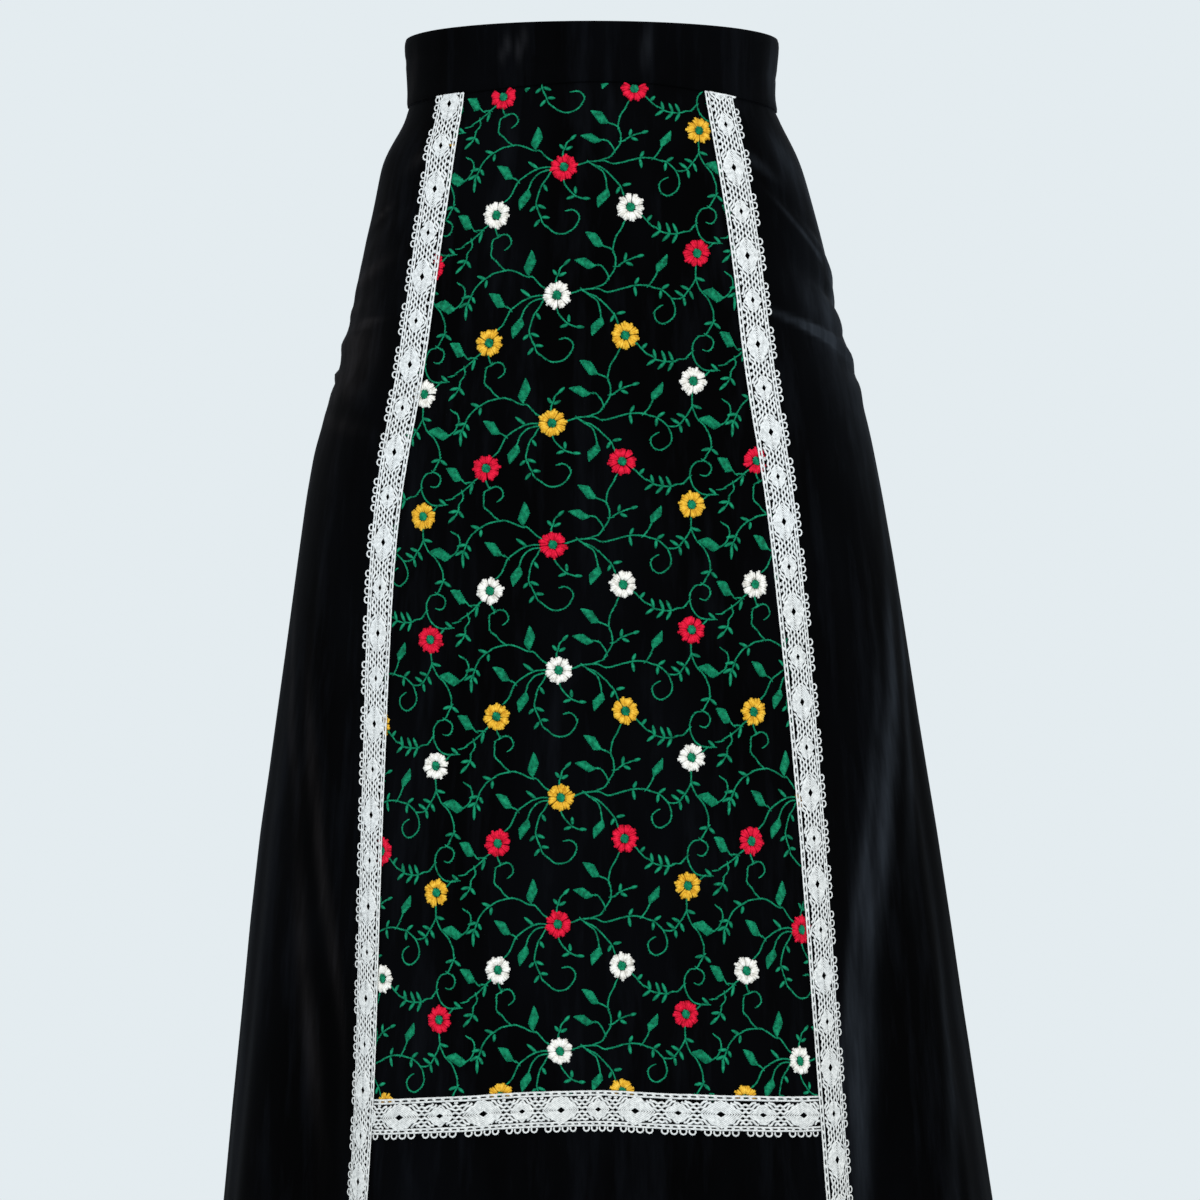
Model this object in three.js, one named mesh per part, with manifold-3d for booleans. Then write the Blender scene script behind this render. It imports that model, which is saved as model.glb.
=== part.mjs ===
// A floor-length prairie skirt in black velvet, in the form it takes when worn: a fitted waistband, an
// embroidered front panel framed by cotton lace, flared skirt panels and a zip at the centre back.
// Millimetres, +Z up, the front faces -Y. The origin is the centre of the waistband, where it is held.
import * as THREE from "three";
import Module from "manifold-3d";

const wasm = await Module();
wasm.setup();

// Driving dimensions
const BAND_HEIGHT = 41;
const SKIRT_LENGTH = 1000; // top of the waistband to the hem
const VELVET = 1.5; // wall of a skirt panel
const BAND_PROUD = 1.5; // the waistband is doubled, so it stands out from the skirt by this much
const SEAM_GAP = 0.3;
const TRIM_LIFT = 0.9; // lace above the velvet
const LACE_WALL = 1;
const LACE_WIDTH = 25; // straight edge to the tips of the loops
const LACE_UNIT = 27.5; // one medallion and its group of loops
const LOOP_DEPTH = 3.6; // how far a group of loops stands out of the lace
const LOOP_GROUP = 20; // length of a group of loops
const LOOP_SLOPE = 1; // run over which a group starts and ends
const LACE_OVER_SEAM = 12; // the seam lies this far under the lace from its straight edge
const PANEL_END = -650; // height of the top of the lower lace at the centre front
const PANEL_BOW = 0.00055; // how fast that line drops to the sides, per square millimetre
const ZIP_END = -188.5;
const ZIP_GAP = 5; // between the folded velvet edges
const CHAIN_WIDTH = 3.8;
const TAPE_WIDTH = 26;
const TAPE_WALL = 1;
const TAPE_LIFT = -2.1; // face of the tape, behind the velvet
const CHAIN_LIFT = 0.2; // face of the zip's chain
const SLIDER = { width: 8, foot: 6.4, height: 11, wall: 2, z: 9 };
const BRIDGE = { reach: 3.2, wall: 1, half: 4, flat: 2.6, width: 1.6 };
const PULL = { width: 6, length: 24, wall: 1, bar: 1, hole: 5.2, slot: 3, axis: 1.1 };

const TOP = BAND_HEIGHT / 2;
const WAIST_SEAM = -BAND_HEIGHT / 2;
const HEM = TOP - SKIRT_LENGTH;
const DEGREE = Math.PI / 180;
const SIDE_SEAM = 92 * DEGREE;

// Sections of the worn skirt: how far its outer face lies from the vertical axis on each side
const SECTIONS = [
  { z: TOP, left: 123, right: 123, front: 94, back: 92 },
  { z: WAIST_SEAM, left: 120, right: 119, front: 95, back: 93 },
  { z: -36, left: 124, right: 125, front: 98, back: 97 },
  { z: -56, left: 137, right: 136, front: 101, back: 104 },
  { z: -86, left: 143, right: 145, front: 106, back: 114 },
  { z: -120, left: 151, right: 154, front: 111, back: 124 },
  { z: -157, left: 158, right: 162, front: 116, back: 132 },
  { z: -187, left: 165, right: 170, front: 120, back: 138 },
  { z: -214, left: 172, right: 178, front: 124, back: 143 },
  { z: -250, left: 183, right: 186, front: 129, back: 148 },
  { z: -292, left: 190, right: 194, front: 134, back: 153 },
  { z: -345, left: 197, right: 203, front: 140, back: 159 },
  { z: -410, left: 206, right: 213, front: 147, back: 166 },
  { z: -515, left: 220, right: 229, front: 159, back: 177 },
  { z: -625, left: 230, right: 244, front: 172, back: 189 },
  { z: -744, left: 241, right: 262, front: 184, back: 201 },
  { z: -860, left: 253, right: 280, front: 195, back: 212 },
  { z: HEM, left: 266, right: 298, front: 206, back: 224 },
];

// The straight edges of the two long laces, as distances from the centre plane
const LACE_LINES = [
  { z: WAIST_SEAM, left: 81, right: 71.5 },
  { z: -110, left: 94.5, right: 87 },
  { z: -212, left: 108, right: 98.5 },
  { z: -271, left: 119, right: 108.5 },
  { z: -331, left: 125, right: 115.5 },
  { z: -450, left: 130, right: 127 },
  { z: -550, left: 133, right: 134.5 },
  { z: -653, left: 135.5, right: 141.5 },
  { z: -744, left: 141, right: 148 },
  { z: HEM, left: 157, right: 164 },
];

// Folds that fall from the hips to the hem: a ridge has a positive depth, and a hollow a negative one
const FLUTES = [
  { angle: 4.8, halfWidth: 6, start: -400, depth: -9 },
  { angle: 22, halfWidth: 11, start: -300, depth: 5 },
  { angle: -24, halfWidth: 11, start: -300, depth: 5 },
  { angle: 47, halfWidth: 9, start: -200, depth: -28 },
  { angle: -48, halfWidth: 9.5, start: -170, depth: -28 },
  { angle: 70, halfWidth: 8, start: -300, depth: 7 },
  { angle: -70, halfWidth: 8, start: -300, depth: 6 },
  { angle: 114, halfWidth: 12, start: -300, depth: -17 },
  { angle: 133, halfWidth: 10, start: -340, depth: 8 },
  { angle: 152, halfWidth: 12, start: -300, depth: -16 },
  { angle: -112, halfWidth: 12, start: -320, depth: -16 },
  { angle: -134, halfWidth: 11, start: -290, depth: 9 },
  { angle: -154, halfWidth: 12, start: -330, depth: -17 },
];

// Creases that drag across the hips, each along a slanting line; rise is the climb per radian of angle
const CREASES = [
  { angle: 62, halfSpan: 14, z: -112, halfHeight: 14, rise: -95, depth: 1.8 },
  { angle: 70, halfSpan: 15, z: -166, halfHeight: 12, rise: -38, depth: 2.4 },
  { angle: 74, halfSpan: 15, z: -190, halfHeight: 11, rise: -20, depth: -2.4 },
  { angle: 95, halfSpan: 24, z: -204, halfHeight: 12, rise: 15, depth: 2.2 },
  { angle: -70, halfSpan: 16, z: -158, halfHeight: 12, rise: 34, depth: -2.2 },
  { angle: -74, halfSpan: 16, z: -176, halfHeight: 11, rise: 30, depth: 2.4 },
  { angle: -92, halfSpan: 22, z: -202, halfHeight: 9, rise: 8, depth: -2.4 },
  { angle: 150, halfSpan: 20, z: -70, halfHeight: 12, rise: -12, depth: -1.8 },
  { angle: -146, halfSpan: 22, z: -76, halfHeight: 12, rise: 16, depth: -1.8 },
];

// Heights of the rows of a skirt panel, closer together over the hips
const ROWS = [
  WAIST_SEAM - SEAM_GAP, -34, -47, -60, -76, -94, -112, -130, -144, -156, -167, -178, -189, -193, -203, -214,
  -228, -250, -280, -320, -370, -430, -500, -560, -618, -675, -735, -805, -890, HEM,
];

const MATERIALS = {
  velvet: new THREE.MeshStandardMaterial({ color: 0x0b0b0d, roughness: 0.95 }),
  lace: new THREE.MeshStandardMaterial({ color: 0xe6e5df, roughness: 0.9 }),
  zipTape: new THREE.MeshStandardMaterial({ color: 0x101012, roughness: 0.85 }),
  zipMetal: new THREE.MeshStandardMaterial({ color: 0x2a2b2e, roughness: 0.4, metalness: 0.8 }),
};

// A column of a table at height z, by a smooth curve through its rows
function columnAt(table, column, z) {
  const last = table.length - 1;
  if (z >= table[0].z) return table[0][column];
  if (z <= table[last].z) return table[last][column];
  const i = table.findIndex((row, n) => n < last && z <= row.z && z >= table[n + 1].z);
  const slope = (n) => {
    const a = table[Math.max(n - 1, 0)];
    const b = table[Math.min(n + 1, last)];
    return (b[column] - a[column]) / (b.z - a.z);
  };
  const step = table[i + 1].z - table[i].z;
  const t = (z - table[i].z) / step;
  const rest = 1 - t;
  return (
    table[i][column] * (1 + 2 * t) * rest * rest +
    table[i + 1][column] * t * t * (3 - 2 * t) +
    slope(i) * step * t * rest * rest -
    slope(i + 1) * step * t * t * rest
  );
}

// The signed turn from one angle to another, in radians
function turn(angle, from) {
  const difference = angle - from;
  return difference - 2 * Math.PI * Math.round(difference / (2 * Math.PI));
}

const bell = (x) => Math.exp(-x * x);

// How far the folds move the cloth outwards at an angle and height
function foldDepth(angle, z) {
  let depth = 0;
  for (const flute of FLUTES) {
    const growth = THREE.MathUtils.clamp((flute.start - z) / (flute.start - HEM), 0, 1);
    const across = turn(angle, flute.angle * DEGREE) / (flute.halfWidth * DEGREE);
    depth += flute.depth * Math.pow(growth, 1.15) * bell(across);
  }
  for (const crease of CREASES) {
    const along = turn(angle, crease.angle * DEGREE);
    const off = (z - crease.z - crease.rise * along) / crease.halfHeight;
    depth += crease.depth * bell(off) * bell(along / (crease.halfSpan * DEGREE));
  }
  return depth;
}

// A point of the velvet's outer face. Angle 0 is the centre front, and it grows towards +X.
function face(angle, z) {
  const sine = Math.sin(angle);
  const cosine = Math.cos(angle);
  const side = columnAt(SECTIONS, sine < 0 ? "left" : "right", z);
  const depth = columnAt(SECTIONS, cosine > 0 ? "front" : "back", z);
  const out = new THREE.Vector2(sine / side, -cosine / depth).normalize();
  const fold = foldDepth(angle, z);
  return new THREE.Vector3(side * sine + out.x * fold, -depth * cosine + out.y * fold, z);
}

// A point that stands off the outer face by lift, along the cloth's own normal
function lifted(angle, z, lift) {
  const turnStep = 0.004;
  const riseStep = 0.5;
  const along = face(angle + turnStep, z).sub(face(angle - turnStep, z));
  const up = face(angle, z + riseStep).sub(face(angle, z - riseStep));
  const normal = along.cross(up).normalize();
  return face(angle, z).addScaledVector(normal, lift);
}

// Length of cloth for each radian of angle
function arcPerRadian(angle, z) {
  const step = 0.01;
  return face(angle + step, z).distanceTo(face(angle - step, z)) / (2 * step);
}

// The angle that lies a length of cloth away from another angle, at the same height
function shifted(angle, z, length) {
  const halfway = angle + length / 2 / arcPerRadian(angle, z);
  return angle + length / arcPerRadian(halfway, z);
}

// Angle of a long lace's straight edge; side is -1 for the left one and 1 for the right one
function laceAngle(side, z) {
  const column = side < 0 ? "left" : "right";
  const across = side * columnAt(LACE_LINES, column, z);
  const halfWidth = columnAt(SECTIONS, column, z);
  let angle = Math.asin(across / halfWidth);
  for (let pass = 0; pass < 8; pass++) angle += (across - face(angle, z).x) / halfWidth;
  return angle;
}

const seamAngle = (side, z) => shifted(laceAngle(side, z), z, side * LACE_OVER_SEAM);

// Height of the lower lace's straight edge, which bows because the front panel is wrapped round
function panelEnd(angle) {
  const across = Math.sin(angle) * columnAt(SECTIONS, "right", PANEL_END);
  return PANEL_END - PANEL_BOW * across * across;
}

// A closed wall between two faces. place(column, row) gives { angle, z } for each grid point.
function wall(name, material, columns, rows, place, outerLift, innerLift) {
  const positions = [];
  const index = [];
  const across = columns + 1;
  const layer = across * (rows + 1);
  for (const lift of [outerLift, innerLift])
    for (let row = 0; row <= rows; row++)
      for (let column = 0; column <= columns; column++) {
        const { angle, z } = place(column, row);
        positions.push(...lifted(angle, z, lift).toArray());
      }
  const at = (column, row, inner) => row * across + column + inner * layer;
  const quad = (a, b, c, d) => index.push(a, b, c, a, c, d);
  for (let row = 0; row < rows; row++)
    for (let column = 0; column < columns; column++) {
      const corners = [[column, row], [column, row + 1], [column + 1, row + 1], [column + 1, row]];
      quad(...corners.map(([c, r]) => at(c, r, 0)));
      quad(...corners.reverse().map(([c, r]) => at(c, r, 1)));
    }
  for (let column = 0; column < columns; column++) {
    quad(at(column, 0, 0), at(column + 1, 0, 0), at(column + 1, 0, 1), at(column, 0, 1));
    quad(at(column, rows, 1), at(column + 1, rows, 1), at(column + 1, rows, 0), at(column, rows, 0));
  }
  for (let row = 0; row < rows; row++) {
    quad(at(0, row, 1), at(0, row + 1, 1), at(0, row + 1, 0), at(0, row, 0));
    quad(at(columns, row, 0), at(columns, row + 1, 0), at(columns, row + 1, 1), at(columns, row, 1));
  }
  const geometry = new THREE.BufferGeometry();
  geometry.setAttribute("position", new THREE.Float32BufferAttribute(positions, 3));
  geometry.setIndex(index);
  geometry.computeVertexNormals();
  return named(name, material, geometry);
}

function named(name, material, geometry) {
  const mesh = new THREE.Mesh(geometry, material);
  mesh.name = name;
  return mesh;
}

// The waistband runs all round and stops at the zip
function waistband() {
  const columns = 64;
  const rows = 2;
  const place = (column, row) => {
    const z = TOP - (BAND_HEIGHT * row) / rows;
    const end = Math.PI - ZIP_GAP / 2 / arcPerRadian(Math.PI, z);
    return { angle: THREE.MathUtils.lerp(-end, end, column / columns), z };
  };
  return wall("waistband", MATERIALS.velvet, columns, rows, place, BAND_PROUD, -VELVET);
}

// The two centre-front panels meet under the lower lace. Each height is a number, or a function of angle.
function centrePanel(name, columns, heights) {
  const place = (column, row) => {
    const share = column / columns;
    const middle = typeof heights[row] === "function" ? heights[row](0) : heights[row];
    const guess = THREE.MathUtils.lerp(seamAngle(-1, middle), seamAngle(1, middle), share);
    const z = typeof heights[row] === "function" ? heights[row](guess) : heights[row];
    const left = shifted(seamAngle(-1, z), z, SEAM_GAP / 2);
    const right = shifted(seamAngle(1, z), z, -SEAM_GAP / 2);
    return { angle: THREE.MathUtils.lerp(left, right, share), z };
  };
  return wall(name, MATERIALS.velvet, columns, heights.length - 1, place, 0, -VELVET);
}

// A skirt panel between two seams, each given as a function of height
function sidePanel(name, columns, first, second) {
  const place = (column, row) => {
    const z = ROWS[row];
    const from = shifted(first(z), z, SEAM_GAP / 2);
    const to = shifted(second(z), z, -SEAM_GAP / 2);
    return { angle: THREE.MathUtils.lerp(from, to, column / columns), z };
  };
  return wall(name, MATERIALS.velvet, columns, ROWS.length - 1, place, 0, -VELVET);
}

// The centre-back edge stands open for the zip and closes to a seam below it
function backEdge(side, z) {
  const half = z > ZIP_END - 1 ? (ZIP_GAP - SEAM_GAP) / 2 : 0;
  return side * (Math.PI - half / arcPerRadian(Math.PI, z));
}

// Columns of one lace unit: distance along it and reach from the straight edge to the outer edge
const LACE_BODY = LACE_WIDTH - LOOP_DEPTH;
const UNIT_COLUMNS = [
  { along: 0, reach: LACE_BODY },
  { along: LOOP_SLOPE, reach: LACE_WIDTH },
  { along: LOOP_GROUP - LOOP_SLOPE, reach: LACE_WIDTH },
  { along: LOOP_GROUP, reach: LACE_BODY },
];

// The stations of a lace of some length: whole units, then a plain end
function laceStations(length) {
  const stations = [];
  for (let start = 0; start + LOOP_GROUP < length; start += LACE_UNIT)
    for (const { along, reach } of UNIT_COLUMNS) stations.push({ along: start + along, reach });
  stations.push({ along: length, reach: LACE_BODY });
  return stations;
}

// Reach of the three lines along a lace: straight edge, middle and outer edge
const laceReach = (station, line) => [0, LACE_BODY / 2, station.reach][line];

function longLace(name, side) {
  const length = WAIST_SEAM - SEAM_GAP - HEM;
  const stations = laceStations(length);
  const lines = 2;
  const place = (column, row) => {
    const station = stations[row];
    const z = WAIST_SEAM - SEAM_GAP - station.along;
    const line = side < 0 ? lines - column : column;
    return { angle: shifted(laceAngle(side, z), z, side * laceReach(station, line)), z };
  };
  const rows = stations.length - 1;
  return wall(name, MATERIALS.lace, lines, rows, place, TRIM_LIFT + LACE_WALL, TRIM_LIFT);
}

function lowerLace(name) {
  const from = shifted(laceAngle(-1, PANEL_END), PANEL_END, SEAM_GAP + 0.5);
  const to = shifted(laceAngle(1, PANEL_END), PANEL_END, -SEAM_GAP - 0.5);
  const length = (to - from) * arcPerRadian(0, PANEL_END);
  const stations = laceStations(length);
  const lines = 2;
  const place = (column, row) => {
    const station = stations[column];
    const guess = THREE.MathUtils.lerp(from, to, station.along / length);
    const z = panelEnd(guess) - laceReach(station, row);
    const left = shifted(laceAngle(-1, z), z, SEAM_GAP);
    const right = shifted(laceAngle(1, z), z, -SEAM_GAP);
    return { angle: THREE.MathUtils.lerp(left, right, station.along / length), z };
  };
  const columns = stations.length - 1;
  return wall(name, MATERIALS.lace, columns, lines, place, TRIM_LIFT + LACE_WALL, TRIM_LIFT);
}

// The zip's tape and chain, as one section swept down the centre back
function zipTape() {
  const chain = CHAIN_WIDTH / 2;
  const tape = TAPE_WIDTH / 2;
  const behind = TAPE_LIFT - TAPE_WALL;
  const section = [
    { across: -tape, lift: behind },
    { across: -tape, lift: TAPE_LIFT },
    { across: -chain, lift: TAPE_LIFT },
    { across: -chain, lift: CHAIN_LIFT },
    { across: chain, lift: CHAIN_LIFT },
    { across: chain, lift: TAPE_LIFT },
    { across: tape, lift: TAPE_LIFT },
    { across: tape, lift: behind },
  ];
  const endInset = 1.5;
  const heights = [TOP - endInset, 0, ...ROWS.filter((z) => z > ZIP_END), ZIP_END];
  const positions = [];
  const index = [];
  const count = section.length;
  for (const z of heights)
    for (const { across, lift } of section)
      positions.push(...lifted(shifted(Math.PI, z, across), z, lift).toArray());
  for (let row = 0; row < heights.length - 1; row++)
    for (let i = 0; i < count; i++) {
      const a = row * count + i;
      const b = row * count + ((i + 1) % count);
      index.push(a, b + count, b, a, a + count, b + count);
    }
  const outline = section.map(({ across, lift }) => new THREE.Vector2(across, lift));
  const bottom = (heights.length - 1) * count;
  for (const [a, b, c] of THREE.ShapeUtils.triangulateShape(outline, [])) {
    index.push(c, b, a);
    index.push(bottom + a, bottom + b, bottom + c);
  }
  const geometry = new THREE.BufferGeometry();
  geometry.setAttribute("position", new THREE.Float32BufferAttribute(positions, 3));
  geometry.setIndex(index);
  return named("zip_tape", MATERIALS.zipTape, solidGeometry(toSolid(geometry)));
}

// A closed geometry as a solid with its faces pointing out
function toSolid(geometry) {
  const index = geometry.index ? Array.from(geometry.index.array) : null;
  const points = geometry.getAttribute("position").array;
  const vertices = [];
  const places = new Map();
  const triangles = (index ?? Array.from({ length: points.length / 3 }, (_, i) => i)).map((i) => {
    const point = [points[3 * i], points[3 * i + 1], points[3 * i + 2]];
    const key = point.map((value) => value.toFixed(4)).join();
    if (!places.has(key)) {
      places.set(key, vertices.length / 3);
      vertices.push(...point);
    }
    return places.get(key);
  });
  const build = (triVerts) =>
    new wasm.Manifold(
      new wasm.Mesh({
        numProp: 3,
        vertProperties: new Float32Array(vertices),
        triVerts: new Uint32Array(triVerts),
      }),
    );
  const made = build(triangles);
  return made.volume() > 0 ? made : build(triangles.reverse());
}

function solidGeometry(solid) {
  const mesh = solid.getMesh();
  const geometry = new THREE.BufferGeometry();
  geometry.setAttribute("position", new THREE.Float32BufferAttribute(mesh.vertProperties, 3));
  geometry.setIndex(new THREE.BufferAttribute(mesh.triVerts, 1));
  geometry.computeVertexNormals();
  return geometry;
}

const outlineOf = (points) => new THREE.Shape(points.map(([x, y]) => new THREE.Vector2(x, y)));

// A flat plate drawn in X and Z, standing out from y = 0 to y = thickness
function plate(shape, thickness) {
  const geometry = new THREE.ExtrudeGeometry(shape, {
    depth: thickness,
    bevelEnabled: false,
    curveSegments: 6,
  });
  return geometry.rotateX(Math.PI / 2).translate(0, thickness, 0);
}

// The slider rides on the chain and carries a bridge for the pull tab
function zipSlider() {
  const half = SLIDER.height / 2;
  const body = plate(
    outlineOf([
      [-SLIDER.foot / 2, -half],
      [SLIDER.foot / 2, -half],
      [SLIDER.width / 2, half - 2],
      [SLIDER.width / 4, half],
      [-SLIDER.width / 4, half],
      [-SLIDER.width / 2, half - 2],
    ]),
    SLIDER.wall,
  );
  const root = -0.5;
  const inside = BRIDGE.reach - BRIDGE.wall;
  const innerHalf = BRIDGE.half - BRIDGE.wall;
  const innerFlat = BRIDGE.flat - 0.7 * BRIDGE.wall;
  const arch = new THREE.ExtrudeGeometry(
    outlineOf([
      [root, BRIDGE.half],
      [BRIDGE.reach, BRIDGE.flat],
      [BRIDGE.reach, -BRIDGE.flat],
      [root, -BRIDGE.half],
      [root, -innerHalf],
      [inside, -innerFlat],
      [inside, innerFlat],
      [root, innerHalf],
    ]),
    { depth: BRIDGE.width, bevelEnabled: false },
  );
  // The arch is drawn in Y and Z, so its drawing plane turns to face X
  arch.applyMatrix4(new THREE.Matrix4().set(0, 0, 1, -BRIDGE.width / 2, 1, 0, 0, 0, 0, 1, 0, 0, 0, 0, 0, 1));
  arch.translate(0, SLIDER.wall, 0);
  const joined = toSolid(body).add(toSolid(arch));
  return named("zip_slider", MATERIALS.zipMetal, solidGeometry(joined));
}

// The pull tab hangs from a crossbar that lies inside the slider's bridge; y = 0 is its hinge axis
function zipPull() {
  const bar = PULL.bar / 2;
  const edge = PULL.width / 2;
  const shape = new THREE.Shape();
  shape.moveTo(-edge, bar);
  shape.lineTo(-edge, -PULL.length + edge);
  shape.absarc(0, -PULL.length + edge, edge, Math.PI, 2 * Math.PI, false);
  shape.lineTo(edge, bar);
  shape.closePath();
  const slot = PULL.slot / 2;
  shape.holes.push(
    new THREE.Path([
      new THREE.Vector2(-slot, -bar),
      new THREE.Vector2(slot, -bar),
      new THREE.Vector2(slot, -PULL.hole),
      new THREE.Vector2(-slot, -PULL.hole),
    ]),
  );
  const geometry = plate(shape, PULL.wall).translate(0, -PULL.wall / 2, 0);
  return named("zip_pull", MATERIALS.zipMetal, solidGeometry(toSolid(geometry)));
}

// Slider and pull, in a group that stands on the band's face at the centre back
function zipHardware() {
  const group = new THREE.Group();
  const bandFace = lifted(Math.PI, SLIDER.z, BAND_PROUD).y;
  group.position.set(0, bandFace + SEAM_GAP, SLIDER.z);
  const pull = zipPull();
  pull.position.y = SLIDER.wall + PULL.axis;
  group.add(zipSlider(), pull);
  return group;
}

const underLace = (offset) => (angle) => panelEnd(angle) - LACE_OVER_SEAM + offset;
const upperRows = [...ROWS.filter((z) => z > PANEL_END + LACE_WIDTH), underLace(SEAM_GAP / 2)];
const lowerRows = [underLace(-SEAM_GAP / 2), ...ROWS.filter((z) => z < PANEL_END - 2 * LACE_WIDTH)];

const skirt = new THREE.Group();
skirt.add(
  waistband(),
  centrePanel("embroidered_panel", 12, upperRows),
  centrePanel("lower_panel", 12, lowerRows),
  sidePanel("side_front_left", 11, () => -SIDE_SEAM, (z) => seamAngle(-1, z)),
  sidePanel("side_front_right", 11, (z) => seamAngle(1, z), () => SIDE_SEAM),
  sidePanel("back_left", 14, (z) => backEdge(-1, z), () => -SIDE_SEAM),
  sidePanel("back_right", 14, () => SIDE_SEAM, (z) => backEdge(1, z)),
  longLace("lace_left", -1),
  longLace("lace_right", 1),
  lowerLace("lace_lower"),
  zipTape(),
  zipHardware(),
);

export default skirt;
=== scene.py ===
import bmesh
import bpy
import numpy as np
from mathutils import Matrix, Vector
from mathutils.bvhtree import BVHTree


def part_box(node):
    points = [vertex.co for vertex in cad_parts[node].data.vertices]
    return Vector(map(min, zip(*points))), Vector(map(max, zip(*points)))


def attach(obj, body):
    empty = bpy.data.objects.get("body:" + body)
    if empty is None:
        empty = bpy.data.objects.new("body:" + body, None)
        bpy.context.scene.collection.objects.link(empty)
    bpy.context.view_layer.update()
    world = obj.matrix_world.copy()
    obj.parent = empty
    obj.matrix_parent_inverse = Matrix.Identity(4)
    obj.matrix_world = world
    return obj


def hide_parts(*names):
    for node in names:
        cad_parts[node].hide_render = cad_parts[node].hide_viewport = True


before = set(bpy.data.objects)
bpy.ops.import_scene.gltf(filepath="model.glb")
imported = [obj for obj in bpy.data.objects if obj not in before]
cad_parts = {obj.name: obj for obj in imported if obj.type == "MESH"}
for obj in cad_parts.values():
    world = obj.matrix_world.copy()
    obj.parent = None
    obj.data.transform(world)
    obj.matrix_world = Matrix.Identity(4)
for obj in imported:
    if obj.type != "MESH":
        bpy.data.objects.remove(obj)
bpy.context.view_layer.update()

MM = 0.001
BODY = "skirt"

# Construction
VELVET = 1.5
BAND_PROUD = 1.5
SEAM_ROLL = {"depth": 0.7, "reach": 2.6}  # how the cloth rolls down into a seam
SEAM_CLOSE = 0.0010  # radians that close the frame's small gaps between sewn edges
HEM_TURN = {"height": 34, "wall": 1.1, "ease": 1.5}  # the hem is turned up inside the skirt
LACE_LIFT = 1.3  # middle of the lace's threads above the velvet

SKIRT_PANELS = (
    "embroidered_panel",
    "lower_panel",
    "side_front_left",
    "side_front_right",
    "back_left",
    "back_right",
)

# Azimuths, in degrees, between which each node is looked for; 0 is the front and 90 is +X
WINDOWS = {
    "waistband": (-200, -160),
    "embroidered_panel": (-80, 80),
    "lower_panel": (-80, 80),
    "side_front_left": (-125, -20),
    "side_front_right": (20, 125),
    "back_left": (-200, -60),
    "back_right": (60, 200),
    "lace_left": (-80, -25),
    "lace_right": (25, 80),
    "lace_lower": (-80, 80),
}


def box_mm(node):
    low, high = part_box(node)
    return np.array(low) / MM, np.array(high) / MM


TOP = box_mm("waistband")[1][2]
WAIST_SEAM = box_mm("waistband")[0][2]
HEM = box_mm("back_left")[0][2]
SKIRT_TOP = box_mm("back_left")[1][2]
FAR = 600.0  # rays start this far from the axis


def tree_of(*names):
    points = []
    faces = []
    for name in names:
        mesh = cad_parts[name].data
        start = len(points)
        points += [tuple(v.co / MM) for v in mesh.vertices]
        faces += [[start + i for i in p.vertices] for p in mesh.polygons]
    return BVHTree.FromPolygons(points, faces)


def radius_at(tree, azimuth, z):
    """Distance from the axis where a level ray from outside meets the surface, or None."""
    across = Vector((np.sin(azimuth), -np.cos(azimuth), 0))
    hit = tree.ray_cast(across * FAR + Vector((0, 0, z)), -across, FAR - 40)
    return None if hit[0] is None else FAR - hit[3]


def meets(tree, azimuth, z):
    return radius_at(tree, azimuth, z) is not None


def halve(inside, outside, holds):
    """The last place, going from inside to outside, where holds() is true."""
    for _ in range(12):
        middle = (inside + outside) / 2
        if holds(middle):
            inside = middle
        else:
            outside = middle
    return inside


def span(name, z):
    """The azimuths between which a node's surface lies at a height."""
    tree = TREES[name]
    angles = np.radians(np.arange(*WINDOWS[name], 1.0))
    found = [a for a in angles if meets(tree, a, z)]
    if not found:
        return None
    step = np.radians(1.0)
    return tuple(
        halve(end, end + side * step, lambda a: meets(tree, a, z))
        for end, side in ((found[0], -1), (found[-1], 1))
    )


def spans(name, heights):
    """span() at each height, as columns z, first and second, from the lowest height up."""
    rows = [(z, *found) for z in sorted(heights) if (found := span(name, z)) is not None]
    return np.array(rows)


def level(name, azimuth, inside, outside):
    """The height between inside and outside at which a node's surface ends."""
    tree = TREES[name]
    return halve(inside, outside, lambda z: meets(tree, azimuth, z))


def cubic_weights(t):
    """Catmull-Rom weights of four neighbours."""
    return (
        ((2 - t) * t - 1) * t / 2,
        ((3 * t - 5) * t * t + 2) / 2,
        ((4 - 3 * t) * t + 1) * t / 2,
        (t - 1) * t * t / 2,
    )


def table(columns, *rows):
    """A short table: one dictionary for each row, with the columns' names as keys."""
    return [dict(zip(columns.split(), row)) for row in rows]


def read_off(rows, given, wanted, at):
    """One column of a table at any value of another, on straight lines between the rows."""
    return np.interp(at, [row[given] for row in rows], [row[wanted] for row in rows])


def unit(vectors):
    return vectors / np.maximum(np.linalg.norm(vectors, axis=-1, keepdims=True), 1e-9)


def bell(x):
    return np.exp(-x * x)


def turn(difference):
    """An angle brought between half a turn back and half a turn on."""
    return difference - 2 * np.pi * np.round(difference / (2 * np.pi))


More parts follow.
